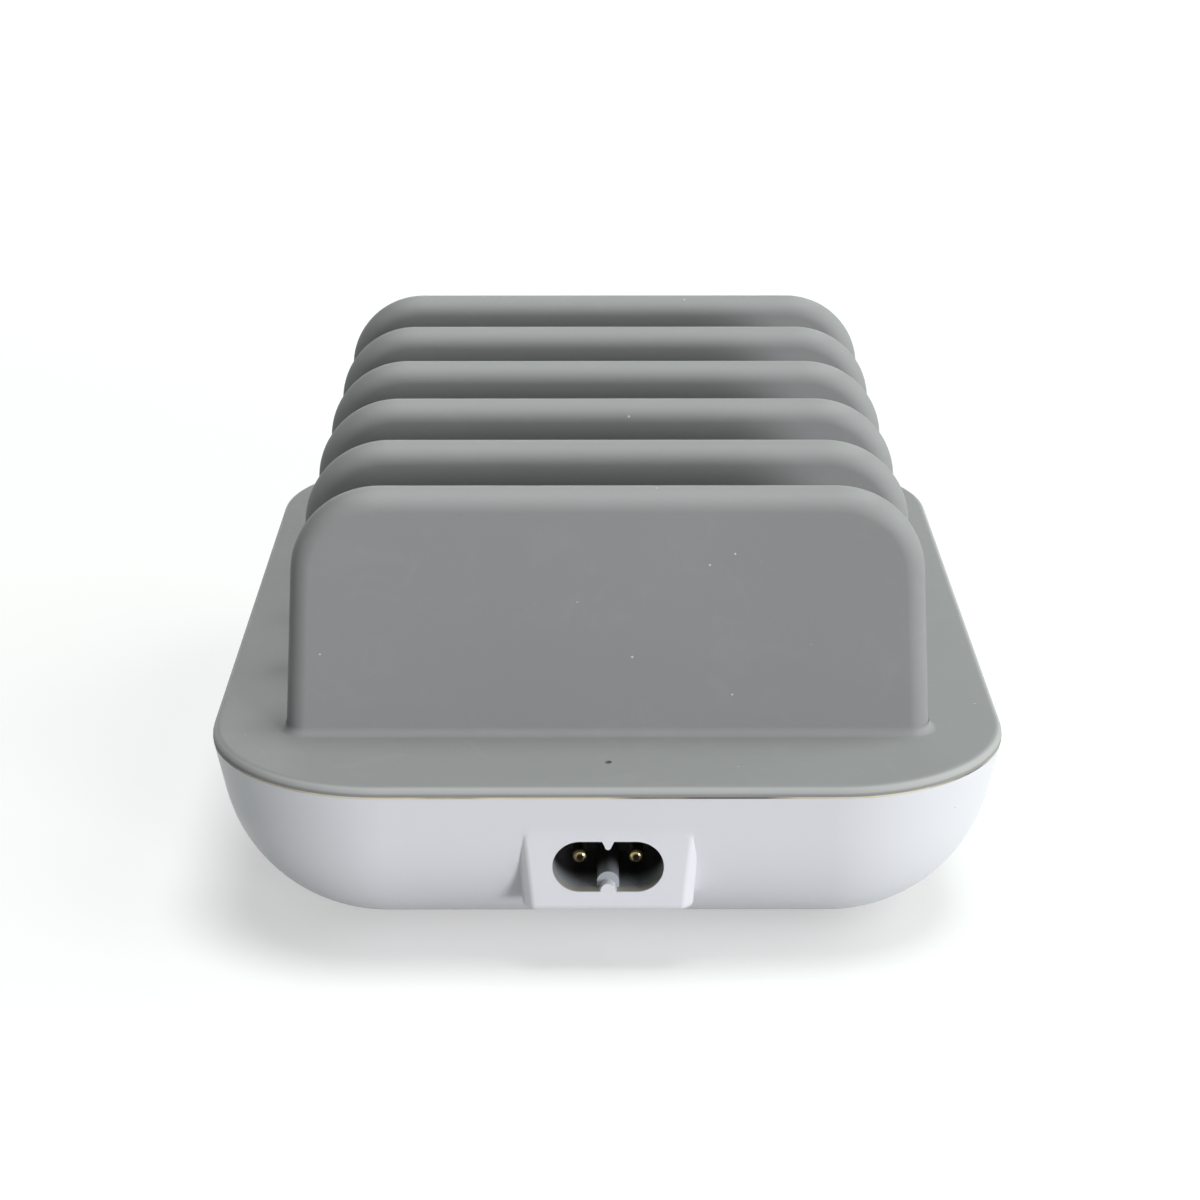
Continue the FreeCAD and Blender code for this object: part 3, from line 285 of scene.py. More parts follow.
def add_dust(tree, place, ground, speck_hex, spacing_mm, radius_mm):
    """Sparse round specks: the cells that draw a high number hold one."""
    cells = add_node(tree, "ShaderNodeTexVoronoi", {"Scale": 1 / (spacing_mm * MM)},
                     {"Vector": (place, "Object")})
    draw = add_node(tree, "ShaderNodeSeparateColor", links={"Color": (cells, "Color")})
    reach = add_node(tree, "ShaderNodeMapRange",
                     {"From Min": DUSTY_CELLS_FROM, "To Max": radius_mm / spacing_mm}, {"Value": (draw, 0)})
    inside = add_node(tree, "ShaderNodeMath", {"operation": "LESS_THAN"},
                      {0: (cells, "Distance"), 1: (reach, 0)})
    return paint_where(tree, ground, speck_hex, [((inside, 0), 0.0, 1.0)])


def add_scuffs(tree, place, ground, scuff_hex, strength):
    """Broad faint marks of handling."""
    cloud = add_node(tree, "ShaderNodeTexNoise",
                     {"Scale": 1 / (SCUFF_SIZE_MM * MM), "Detail": 5.0, "Distortion": 1.5},
                     {"Vector": (place, "Object")})
    return paint_where(tree, ground, scuff_hex, [((cloud, 0), SCUFFS_FROM, SCUFFS_FULL)], strength, "LINEAR")


def dust_on_cover(tree, place, ground):
    scuffed = add_scuffs(tree, place, ground, "#aaabab", SCUFF_STRENGTH)
    return add_dust(tree, place, scuffed, "#d4d5d4", spacing_mm=4.0, radius_mm=0.22)


def dust_on_base(tree, place, ground):
    return add_dust(tree, place, ground, "#a9a8a4", spacing_mm=6.0, radius_mm=0.16)


print("dust and scuffs ready")

# %% [markdown]
# ## Painted light and shade at the inlet
# The inlet gets painted light at its lip, a bluish grey where light falls in, and black further in. The
# pale wall of the opening in front of it gets painted brownish shade, and a pin's bright plating a painted
# dark reflection at the middle of its tip. Each mark is worked out from object coordinates, in the same
# frame as the solids, so it stays where it belongs from any side, and its place comes from the boxes of the
# solids.

# %% Painted light, shade and reflection at the inlet, its opening and the pins
# Depth over which the painted light at the inlet's lip fades to black
LIP_LIGHT_DEPTH_MM = 6.0
OPENING_LIP_MM = 1.8
OPENING_HALF_HEIGHT_MM = 4.25
OPENING_SIDE_MM = (1.3, 8.6)
# Edge and span of the painted brownish shade on the wall of the opening
OPENING_SHADE_EDGE_MM = 0.1
OPENING_SHADE_STARTS_MM = 0.05
OPENING_SHADE_FULL_MM = 0.4
# Radius of the painted dark reflection at the middle of a pin's tip
TIP_REFLECTION_MM = 0.8
# Along Y, where a mark that belongs to the rear end is empty and full
REAR_HALF = (0.0, -1.0 * MM)

inlet_low, inlet_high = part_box("inlet_body")
pin_low, pin_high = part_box("inlet_pin_neutral")
INLET_HEIGHT_MM = (inlet_low.z + inlet_high.z) / 2 / MM
LIP_Y_MM = inlet_low.y / MM
BOSS_FACE_Y_MM = LIP_Y_MM - OPENING_LIP_MM
PIN_OFFSET_MM = (pin_low.x + pin_high.x) / 2 / MM


def add_distance(tree, value, middle_mm):
    """How far a coordinate or another distance is from a middle."""
    apart = add_node(tree, "ShaderNodeMath", {"operation": "SUBTRACT", 1: middle_mm * MM}, {0: value})
    return add_node(tree, "ShaderNodeMath", {"operation": "ABSOLUTE"}, {0: (apart, 0)})


# Painted light: bluish grey at the lip, where light falls into the inlet, black further in, where it is shade
def painted_light_at_lip(tree, place, ground):
    axes = add_node(tree, "ShaderNodeSeparateXYZ", links={"Vector": (place, "Object")})
    lip = ((axes, "Y"), (LIP_Y_MM + LIP_LIGHT_DEPTH_MM) * MM, LIP_Y_MM * MM)
    return paint_where(tree, ground, "#aab0b6", [lip])


def shade_and_dust_in_opening(tree, place, ground):
    """Painted shade on the wall of the opening, only between its keys and ends and behind the boss's face."""
    axes = add_node(tree, "ShaderNodeSeparateXYZ", links={"Vector": (place, "Object")})
    low_side, high_side = OPENING_SIDE_MM
    half_side = (high_side - low_side) / 2
    beside = add_distance(tree, (add_distance(tree, (axes, "X"), 0.0), 0), (low_side + high_side) / 2)
    above = add_distance(tree, (axes, "Z"), INLET_HEIGHT_MM)
    ramps = [
        ((beside, 0), half_side * MM, (half_side - OPENING_SHADE_EDGE_MM) * MM),
        ((above, 0), (OPENING_HALF_HEIGHT_MM + OPENING_SHADE_EDGE_MM) * MM, OPENING_HALF_HEIGHT_MM * MM),
        ((axes, "Y"), (BOSS_FACE_Y_MM + OPENING_SHADE_STARTS_MM) * MM, (BOSS_FACE_Y_MM + OPENING_SHADE_FULL_MM) * MM),
        ((axes, "Y"), *REAR_HALF),
    ]
    return paint_where(tree, dust_on_base(tree, place, ground), "#aaa49b", ramps)


# Painted dark reflection at the middle of a pin's tip
def dark_reflection_at_tip(tree, place, ground):
    axes = add_node(tree, "ShaderNodeSeparateXYZ", links={"Vector": (place, "Object")})
    across = add_distance(tree, (add_distance(tree, (axes, "X"), 0.0), 0), PIN_OFFSET_MM)
    above = add_distance(tree, (axes, "Z"), INLET_HEIGHT_MM)
    flat = add_node(tree, "ShaderNodeCombineXYZ", links={"X": (across, 0), "Y": (above, 0)})
    radius = add_node(tree, "ShaderNodeVectorMath", {"operation": "LENGTH"}, {0: (flat, 0)})
    return paint_where(tree, ground, "#1d1a17", [((radius, "Value"), TIP_REFLECTION_MM * MM, TIP_REFLECTION_MM / 2 * MM)])


print("inlet at height", round(INLET_HEIGHT_MM, 2), "mm, pins", round(PIN_OFFSET_MM, 2), "mm from the middle")

# %% [markdown]
# ## Marks on the glue, and painted highlights on the cover
# The glue is tan where it squeezed out thick and brown where it ran thin, which a broad noise pattern
# decides. The cover gets a painted highlight, a paler grey along the upper part of its rim and near the
# tops of its fins, so these marks follow the height.

# %% Marks on the glue, and painted highlights on the cover
GLUE_RUN_MM = 28.0
GLUE_THIN_FROM = 0.46
GLUE_THIN_FULL = 0.58
PLATE_THICKNESS_MM = 1.5
PLATE_TOP_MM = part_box("adhesive_ring")[1].z / MM + PLATE_THICKNESS_MM
FIN_TOP_MM = CAD_BOX[1][2] / MM
# Painted highlight: the paler grey of the rim and of the tops of the fins, and how strong and wide it lies
PAINTED_HIGHLIGHT = "#b6b7b6"
RIM_HIGHLIGHT = 0.65
RIM_HIGHLIGHT_STARTS_MM = 0.02
RIM_HIGHLIGHT_FULL_MM = 0.3
RIM_HIGHLIGHT_FADES_MM = 0.8
RIM_HIGHLIGHT_ENDS_MM = 1.2
FIN_TOP_HIGHLIGHT = 0.28
FIN_TOP_HIGHLIGHT_FULL_MM = 0.4
FIN_TOP_HIGHLIGHT_ENDS_MM = 2.6


def run_thin(tree, place, ground):
    runs = add_node(tree, "ShaderNodeTexNoise", {"Scale": 1 / (GLUE_RUN_MM * MM), "Detail": 4.0},
                    {"Vector": (place, "Object")})
    return paint_where(tree, ground, "#54432f", [((runs, 0), GLUE_THIN_FROM, GLUE_THIN_FULL)], step="LINEAR")


def highlight_and_dust_on_cover(tree, place, ground):
    """Painted highlight on the upper part of the plate's rim and near the tops of the fins, then dust."""
    axes = add_node(tree, "ShaderNodeSeparateXYZ", links={"Vector": (place, "Object")})
    height = (axes, "Z")
    rim = [
        (height, (PLATE_TOP_MM - RIM_HIGHLIGHT_STARTS_MM) * MM, (PLATE_TOP_MM - RIM_HIGHLIGHT_FULL_MM) * MM),
        (height, (PLATE_TOP_MM - RIM_HIGHLIGHT_ENDS_MM) * MM, (PLATE_TOP_MM - RIM_HIGHLIGHT_FADES_MM) * MM),
    ]
    tops = (height, (FIN_TOP_MM - FIN_TOP_HIGHLIGHT_ENDS_MM) * MM, (FIN_TOP_MM - FIN_TOP_HIGHLIGHT_FULL_MM) * MM)
    highlighted = paint_where(tree, ground, PAINTED_HIGHLIGHT, rim, RIM_HIGHLIGHT)
    highlighted = paint_where(tree, highlighted, PAINTED_HIGHLIGHT, [tops], FIN_TOP_HIGHLIGHT)
    return dust_on_cover(tree, place, highlighted)


print("rubbed under heights of", round(PLATE_TOP_MM, 2), "and", round(FIN_TOP_MM, 2), "mm")

# %% [markdown]
# ## Soft crease over the inlet
# The flat boss of the inlet runs out of the leaning wall, and the mould was polished there, so no line shows.
# A fillet between two faces that are so nearly in line is hard to make, but a Bevel node can turn the shading
# of a narrow strip instead. Its radius comes from the height, so the edge of the opening below stays crisp.

# %% Soft crease
CREASE_Z_MM = 24.4
CREASE_REACH_MM = 2.0
CREASE_ROUND_MM = 3.0
CREASE_SAMPLES = 8


def soften_crease(tree, place):
    axes = add_node(tree, "ShaderNodeSeparateXYZ", links={"Vector": (place, "Object")})
    away = add_distance(tree, (axes, "Z"), CREASE_Z_MM)
    ramps = [((away, 0), CREASE_REACH_MM * MM, 0.0), ((axes, "Y"), *REAR_HALF)]
    radius = add_share(tree, ramps, CREASE_ROUND_MM * MM)
    return add_node(tree, "ShaderNodeBevel", {"samples": CREASE_SAMPLES}, {"Radius": (radius, 0)})


print("crease at", CREASE_Z_MM, "mm")

# %% [markdown]
# ## Finishes of the outside
# The cover is matt silicone rubber: its low index gives little gloss, and its fine tacky skin scatters light
# at the edges, which the sheen stands for; a painted highlight lies on its rim and near its fin tops. The
# base is a pale ABS blend from a spark-eroded mould. The inlet is black half-gloss nylon with painted light
# at its lip, and bright nickel-plated pins. The grains of a few tenths of a millimetre are drawn about twice
# as coarse as the real ones, so that they show.

# %% Outside materials
# Silicone rubber, compression moulded: matt and even, with pale dust, a soft sheen along its edges,
# and a painted highlight on its upper rim and near the tops of its fins
SILICONE = moulded("silicone_rubber_matt", "#969797", "#909191", 0.78, 0.35, 0.010, drift_mm=40.0,
                   paint_over=highlight_and_dust_on_cover, IOR=1.41,
                   **{"Specular IOR Level": 0.3, "Sheen Weight": 0.1, "Sheen Roughness": 0.4})
# ABS blend, injection moulded in a spark-eroded tool: a pale satin whose gloss breaks up in fine grain
# With dark dust specks, and painted brownish shade on the wall of the inlet's opening
SHELL = moulded("abs_blend_spark_eroded", "#e8e9ee", "#e2e3e8", 0.42, 0.30, 0.008, drift_mm=60.0,
                paint_over=shade_and_dust_in_opening, soften=soften_crease, IOR=1.52)
# Contact glue, brushed on and dried: tan skin with brown thin stretches
GLUE = moulded("contact_glue_dried", "#f4ebcc", "#e0d0a6", 0.5, 0.5, 0.03, drift_mm=6.0,
               paint_over=run_thin, IOR=1.5)
# Nylon, moulded black: half gloss, with painted light that greys its lip and fades to black further in
INLET = moulded("nylon_black_moulded", "#1c1c1e", "#141416", 0.34, 0.4, 0.006,
                paint_over=painted_light_at_lip, IOR=1.53)
# Nickel on turned brass: a mirror, with a painted dark reflection at the middle of its tip
PIN = moulded("nickel_plated_brass", "#b9a87e", "#93835e", 0.16, 0.6, 0.001, gloss_spread=0.04,
              paint_over=dark_reflection_at_tip, Metallic=1.0)
# Natural rubber, moulded: dark and dull
FOOT = moulded("natural_rubber_moulded", "#3a3a3c", "#303032", 0.7, 0.5, 0.02, IOR=1.52)
OUTSIDE = {"silicone": SILICONE, "shell_plastic": SHELL, "adhesive": GLUE, "inlet_plastic": INLET,
           "pin_metal": PIN, "foot_rubber": FOOT}
print("outside finishes:", len(OUTSIDE))

# %% [markdown]
# ## Finishes of the inside
# The board and its components are hidden by the shell, but the sockets show at the front. Each has the common
# finish of its kind. Wound wire, rolled sheet and printed tracks show lines at a steady spacing, which a wave
# pattern draws over the colour.

# %% Lines of wire, rolling and tracks
LINE_WAVER = 0.4
# A wave pattern of scale 1 repeats at this distance, in metres
WAVE_PITCH = math.pi / 10


def lined(direction, pitch_mm, line_hex, strength):
    """Function that paints straight lines at a steady pitch over a colour."""
    def paint(tree, place, ground):
        wave = add_node(tree, "ShaderNodeTexWave",
                        {"bands_direction": direction, "Scale": WAVE_PITCH / (pitch_mm * MM),
                         "Distortion": LINE_WAVER}, {"Vector": (place, "Object")})
        return paint_where(tree, ground, line_hex, [((wave, "Fac"), 0.0, 1.0)], strength, "LINEAR")
    return paint


print("lines ready")

# %% Inside materials
INSIDE = {
    # ABS, moulded grey: satin and plain
    "deck_plastic": moulded("abs_grey_moulded", "#7c7d80", "#747578", 0.5, 0.4, 0.01, IOR=1.53),
    # Steel, zinc plated: bright, a little blue and cloudy
    "screw_steel": moulded("zinc_plated_steel", "#b9bcc2", "#a9acb2", 0.3, 0.3, 0.003, Metallic=1.0),
    # Glass epoxy under solder mask: green gloss, darker between the tracks
    "board_laminate": moulded("glass_epoxy_solder_mask", "#2c6a45", "#245c3b", 0.35, 0.6, 0.01,
                              paint_over=lined("X", 2.54, "#1b4a2f", 0.6), IOR=1.55),
    # Steel strip, nickel plated: bright, with fine lines of rolling drawn coarse enough to show
    "port_steel": moulded("nickel_plated_steel", "#c9c8c5", "#bdbcb9", 0.25, 0.3, 0.002,
                          paint_over=lined("X", 0.4, "#a3a19c", 0.5), Metallic=1.0),
    # Nylon, moulded white: waxy, warm white
    "port_insulator": moulded("nylon_white_moulded", "#e6e4dd", "#dcdad3", 0.45, 0.4, 0.006, IOR=1.53),
    # Bronze, gold flashed: warm mirror
    "contact_gold": moulded("gold_flashed_bronze", "#e6c070", "#d9b160", 0.22, 0.3, 0.002, Metallic=1.0),
    # Ceramic tube, glazed: smooth cream
    "fuse_ceramic": moulded("ceramic_tube_glazed", "#dcd8cc", "#d2cec2", 0.3, 0.8, 0.004, IOR=1.6),
    # Polyester box, potted: yellow half gloss
    "film_yellow": moulded("polyester_box_potted", "#d9a92c", "#cf9f26", 0.35, 0.8, 0.006, IOR=1.55),
    # Disc dipped in epoxy: blue, wavy and glossy
    "disc_blue": moulded("epoxy_dipped_disc", "#2f5fa8", "#28549a", 0.3, 1.2, 0.02, IOR=1.55),
    # Ferrite, sintered: dull dark grey with grain
    "ferrite": moulded("ferrite_sintered", "#474747", "#3c3c3d", 0.6, 0.25, 0.02, IOR=1.8),
    # Copper wire, enamelled and wound: orange gloss with a dark line between turns
    "copper_wire": moulded("copper_enamelled", "#c0713c", "#a85f31", 0.28, 0.4, 0.02,
                           paint_over=lined("Z", 0.6, "#5a2f18", 0.8), Metallic=1.0),
    # Phenolic, moulded black: dense and half dull
    "bobbin_plastic": moulded("phenolic_black_moulded", "#2c2c2d", "#242425", 0.45, 0.5, 0.008, IOR=1.55),
    # Epoxy, moulded black: dull, fine grain
    "component_black": moulded("epoxy_black_moulded", "#232324", "#1b1b1c", 0.5, 0.3, 0.01, IOR=1.55),
    # Vinyl sleeve, shrunk on a can: dark blue gloss
    "can_sleeve": moulded("vinyl_sleeve_shrunk", "#2b3142", "#242a3a", 0.3, 1.5, 0.01, IOR=1.54),
    # Aluminium sheet, rolled: pale, lined along the rolling, which is drawn coarse enough to show
    "sink_aluminium": moulded("aluminium_sheet_rolled", "#c9cacc", "#bdbec0", 0.35, 0.3, 0.004,
                              paint_over=lined("Z", 0.5, "#a7a8ab", 0.5), Metallic=1.0),
}
FINISHES = {**OUTSIDE, **INSIDE}

for entry in frame["record"]["subparts"]:
    node = frame["nodes"][entry["node"]]
    node.data.materials.clear()
    node.data.materials.append(FINISHES[entry["material_slot"]])
print("finishes:", len(FINISHES))

# %% [markdown]
# ## Soft cover
# The cover is one moulding of silicone rubber: a thin plate with a round rim and six equal fins. Its shape
# follows a rule, so a Geometry Nodes tree makes it. A fin is an outline with two large corners: its rim is
# a half-round swept along that outline, and its two sides are the outline filled. The small blend at its
# foot is a hollow profile swept round the foot, and a line of points repeats the fin. Box modelling with
# bevels would give the same form, but then neither the number of fins nor a radius could be changed later.


# %% Helpers for Geometry Nodes
def new_shape_tree(name, sizes):
    """Empty Geometry Nodes tree with a named input for each size, and the node that gives these inputs."""
    tree = bpy.data.node_groups.new(name, "GeometryNodeTree")
    tree.interface.new_socket("Geometry", in_out="OUTPUT", socket_type="NodeSocketGeometry")
    for size, value in sizes.items():
        kind = "NodeSocketInt" if isinstance(value, int) else "NodeSocketFloat"
        tree.interface.new_socket(size, in_out="INPUT", socket_type=kind)
    tree.interface.new_socket("Material", in_out="INPUT", socket_type="NodeSocketMaterial")
    return tree, add_node(tree, "NodeGroupInput")


def shape_piece(name, tree, sizes, material):
    """Run a tree with these sizes and keep the result as a piece with a plain mesh."""
    maker = bpy.data.objects.new(f"{name}_maker", bpy.data.meshes.new(name))
    SCENE.collection.objects.link(maker)
    modifier = maker.modifiers.new(name, "NODES")
    modifier.node_group = tree
    values = {**sizes, "Material": material}
    for socket in tree.interface.items_tree:
        if socket.in_out == "INPUT":
            modifier[socket.identifier] = values[socket.name]
    evaluated = maker.evaluated_get(bpy.context.evaluated_depsgraph_get())
    piece = bpy.data.objects.new(name, bpy.data.meshes.new_from_object(evaluated))
    SCENE.collection.objects.link(piece)
    bpy.data.objects.remove(maker)
    face_outwards(piece.data)
    return piece


def face_outwards(mesh):
    """Turn every face of a mesh of closed shells outwards."""
    shell = bmesh.new()
    shell.from_mesh(mesh)
    bmesh.ops.recalc_face_normals(shell, faces=shell.faces)
    shell.to_mesh(mesh)
    shell.free()


print("helpers for Geometry Nodes ready")

# %% [markdown]
# ## Sizes of the cover
# The tree gets the sizes of the outline that the rim is swept along, which lies inside the fin by the depth
# of the rim. So the widths at its foot and top, and its height, are worked out here from the sizes of the
# finished fin. The outline starts a little under the top of the plate, where nothing shows.

# %% Sizes of the cover
FIN_COUNT = 6
FIRST_FIN_Y_MM = -58.6
FIN_PITCH_MM = 24.4
PLATE_CORNER_MM = 27.99
PLATE_RIM_MM = 1.2
FIN_FOOT_HALF_MM = 50.7
FIN_HALF_THICKNESS_MM = 3.5
FIN_CROWN_MM = 3.2
FIN_CORNER_MM = 14.0
FIN_LEAN = math.radians(3.4)
FIN_ROOT_MM = 1.2
FIN_SUNK_MM = 1.2
GATE_Y_MM = -72.8
GATE_RADIUS_MM = 0.6
GATE_DEPTH_MM = 1.0

plan_low, plan_high = CAD_BOX
crown_across = FIN_CROWN_MM / math.cos(FIN_LEAN)
outline_top = FIN_TOP_MM - PLATE_TOP_MM - FIN_CROWN_MM
foot_half = FIN_FOOT_HALF_MM + FIN_SUNK_MM * math.tan(FIN_LEAN) - crown_across
top_half = FIN_FOOT_HALF_MM - outline_top * math.tan(FIN_LEAN) - crown_across
COVER_MM = {
    "Plate Width": (plan_high[0] - plan_low[0]) / MM - 2 * PLATE_RIM_MM,
    "Plate Length": (plan_high[1] - plan_low[1]) / MM - 2 * PLATE_RIM_MM,
    "Plate Corner": PLATE_CORNER_MM - PLATE_RIM_MM,
    "Plate Rim": PLATE_RIM_MM,
    "Plate Thickness": PLATE_THICKNESS_MM,
    "Plate Top": PLATE_TOP_MM,
    "Gate Y": GATE_Y_MM,
    "Gate Radius": GATE_RADIUS_MM,
    "Gate Depth": GATE_DEPTH_MM,
    "Fin Foot Width": 2 * foot_half,
    "Fin Top Width": 2 * top_half,
    "Fin Outline Height": outline_top + FIN_SUNK_MM,
    "Fin Middle Height": (outline_top - FIN_SUNK_MM) / 2,
    "Fin Sunk": -FIN_SUNK_MM,
    "Fin Corner": FIN_CORNER_MM - FIN_CROWN_MM,
    "Fin Crown": FIN_CROWN_MM,
    "Fin Half Thickness": FIN_HALF_THICKNESS_MM,
    "Root Width": 2 * FIN_FOOT_HALF_MM,
    "Root Depth": 2 * FIN_HALF_THICKNESS_MM,
    "Root Corner": FIN_CROWN_MM,
    "Root Blend": FIN_ROOT_MM,
    "First Fin": FIRST_FIN_Y_MM,
    "Fin Pitch": FIN_PITCH_MM,
}
COVER_SIZES = {"Fin Count": FIN_COUNT, **{size: value * MM for size, value in COVER_MM.items()}}
OUTLINE_SIZES = ("Fin Foot Width", "Fin Top Width", "Fin Outline Height")
print("fin outline, mm:", [round(COVER_MM[size], 2) for size in OUTLINE_SIZES])

# %% [markdown]
# ## One fin
# The outline is a trapezium lying flat, because Fill Curve works in that plane, and only its upper corners
# get the large radius: a comparison of each point's height picks it. After the sweep and the two fills are
# welded, the fin is stood up, and what hangs below the plate is pushed up into it.

# %% Fin
CORNER_STEPS = 20
RIM_STEPS = 17
FOOT_CORNER = 0.5 * MM
WELD = 0.01 * MM
QUARTER_TURN = math.pi / 2


def add_fin_outline(tree, given):
    """Trapezium with two large round corners at its top."""
    flat = add_node(tree, "GeometryNodeCurvePrimitiveQuadrilateral", {"mode": "TRAPEZOID", "Offset": 0.0},
                    {"Height": (given, "Fin Outline Height"), "Bottom Width": (given, "Fin Foot Width"),
                     "Top Width": (given, "Fin Top Width")})
    place = add_node(tree, "GeometryNodeInputPosition")
    axes = add_node(tree, "ShaderNodeSeparateXYZ", links={0: (place, 0)})
    upper = add_node(tree, "FunctionNodeCompare", {"operation": "GREATER_THAN"}, {0: (axes, "Y")})
    radius = add_node(tree, "GeometryNodeSwitch", {"input_type": "FLOAT", 1: FOOT_CORNER},
                      {0: (upper, 0), 2: (given, "Fin Corner")})
    return add_node(tree, "GeometryNodeFilletCurve", {"mode": "POLY", "Count": CORNER_STEPS},
                    {"Curve": (flat, 0), "Radius": (radius, 0)})


def add_fin(tree, given):
    """Fin whose foot stands at height zero, with its middle at the origin."""
    outline = add_fin_outline(tree, given)
    round_arc = add_node(tree, "GeometryNodeCurveArc",
                         {"Resolution": RIM_STEPS, "Radius": 1.0, "Start Angle": -QUARTER_TURN,
                          "Sweep Angle": math.pi})
    crown = add_node(tree, "ShaderNodeCombineXYZ",
                     links={"X": (given, "Fin Crown"), "Y": (given, "Fin Half Thickness")})
    profile = add_node(tree, "GeometryNodeTransform", links={"Geometry": (round_arc, 0), "Scale": (crown, 0)})
    rim = add_node(tree, "GeometryNodeCurveToMesh",
                   links={"Curve": (outline, 0), "Profile Curve": (profile, 0)})
    side = add_node(tree, "GeometryNodeFillCurve", {"mode": "NGONS"}, {"Curve": (outline, 0)})
    out = add_node(tree, "ShaderNodeCombineXYZ", links={"Z": (given, "Fin Half Thickness")})
    back = add_node(tree, "ShaderNodeVectorMath", {"operation": "SCALE", "Scale": -1.0}, {0: (out, 0)})
    walls = [(rim, 0)]
    for offset in (out, back):
        wall = add_node(tree, "GeometryNodeTransform",
                        links={"Geometry": (side, 0), "Translation": (offset, 0)})
        walls.append((wall, 0))
    shell = add_node(tree, "GeometryNodeJoinGeometry", links={0: walls})
    welded = add_node(tree, "GeometryNodeMergeByDistance", {"Distance": WELD}, {"Geometry": (shell, 0)})
    rise = add_node(tree, "ShaderNodeCombineXYZ", links={"Z": (given, "Fin Middle Height")})
    upright = add_node(tree, "GeometryNodeTransform", {"Rotation": (QUARTER_TURN, 0, 0)},
                       {"Geometry": (welded, 0), "Translation": (rise, 0)})
    return add_level_foot(tree, given, upright)


def add_level_foot(tree, given, upright):
    """Fin whose points under the plate's top are lifted to one level inside the plate."""
    place = add_node(tree, "GeometryNodeInputPosition")
    axes = add_node(tree, "ShaderNodeSeparateXYZ", links={0: (place, 0)})
    height = add_node(tree, "ShaderNodeMath", {"operation": "MAXIMUM"},
                      {0: (axes, "Z"), 1: (given, "Fin Sunk")})
    level = add_node(tree, "ShaderNodeCombineXYZ",
                     links={"X": (axes, "X"), "Y": (axes, "Y"), "Z": (height, 0)})
    lifted = add_node(tree, "GeometryNodeSetPosition",
                      links={"Geometry": (upright, 0), "Position": (level, 0)})
    return add_node(tree, "GeometryNodeMergeByDistance", {"Distance": WELD}, {"Geometry": (lifted, 0)})


print("fin corner:", FIN_CORNER_MM, "mm in", CORNER_STEPS, "steps")

# %% [markdown]
# ## Blend at the foot
# Where a fin meets the plate, the mould has a small hollow round. Its profile is a quarter arc with the
# centre of the arc pulled through to the other side, into the fin, so the sweep is a closed ring whose
# hollow face touches the side of the fin and the top of the plate.

# %% Blend at the foot of a fin
BLEND_STEPS = 9
# Shares of the radius: how far the arc's centre is pulled, and the reach that tells it from the arc's points
CENTRE_PULL = 1.3
CENTRE_REACH = 0.5


def add_root_blend(tree, given):
    """Ring round the foot of a fin, with a hollow outer face."""
    rectangle = add_node(tree, "GeometryNodeCurvePrimitiveQuadrilateral", {"mode": "RECTANGLE"},
                         {"Width": (given, "Root Width"), "Height": (given, "Root Depth")})
    foot = add_node(tree, "GeometryNodeFilletCurve", {"mode": "POLY", "Count": CORNER_STEPS},
                    {"Curve": (rectangle, 0), "Radius": (given, "Root Corner")})
    wedge = add_node(tree, "GeometryNodeCurveArc",
                     {"Resolution": BLEND_STEPS, "Radius": 1.0, "Start Angle": QUARTER_TURN,
                      "Sweep Angle": QUARTER_TURN, "Connect Center": True})
    place = add_node(tree, "GeometryNodeInputPosition")
    reach = add_node(tree, "ShaderNodeVectorMath", {"operation": "LENGTH"}, {0: (place, 0)})
    is_centre = add_node(tree, "FunctionNodeCompare", {"operation": "LESS_THAN", 1: CENTRE_REACH},
                         {0: (reach, "Value")})
    hollow = add_node(tree, "GeometryNodeSetPosition", {"Offset": (-CENTRE_PULL, CENTRE_PULL, 0)},
                      {"Geometry": (wedge, 0), "Selection": (is_centre, 0)})
    set_out = add_node(tree, "GeometryNodeTransform", {"Translation": (1, -1, 0)}, {"Geometry": (hollow, 0)})
    size = add_node(tree, "ShaderNodeCombineXYZ",
                    links={"X": (given, "Root Blend"), "Y": (given, "Root Blend")})
    profile = add_node(tree, "GeometryNodeTransform", links={"Geometry": (set_out, 0), "Scale": (size, 0)})
    return add_node(tree, "GeometryNodeCurveToMesh",
                    links={"Curve": (foot, 0), "Profile Curve": (profile, 0)})


print("blend radius:", FIN_ROOT_MM, "mm")

# %% [markdown]
# ## Plate
# The plate's rim is an open profile, so that no wall is left inside: from the inner edge of the underside, up
# the side and over the round to the top. The hole in the filled top is where the rubber was let into the
# mould, a mark that is cut off by hand and leaves a small pit.

# %% Plate with its gate mark
GATE_POINTS = 24
PIT_SHARE = 0.85


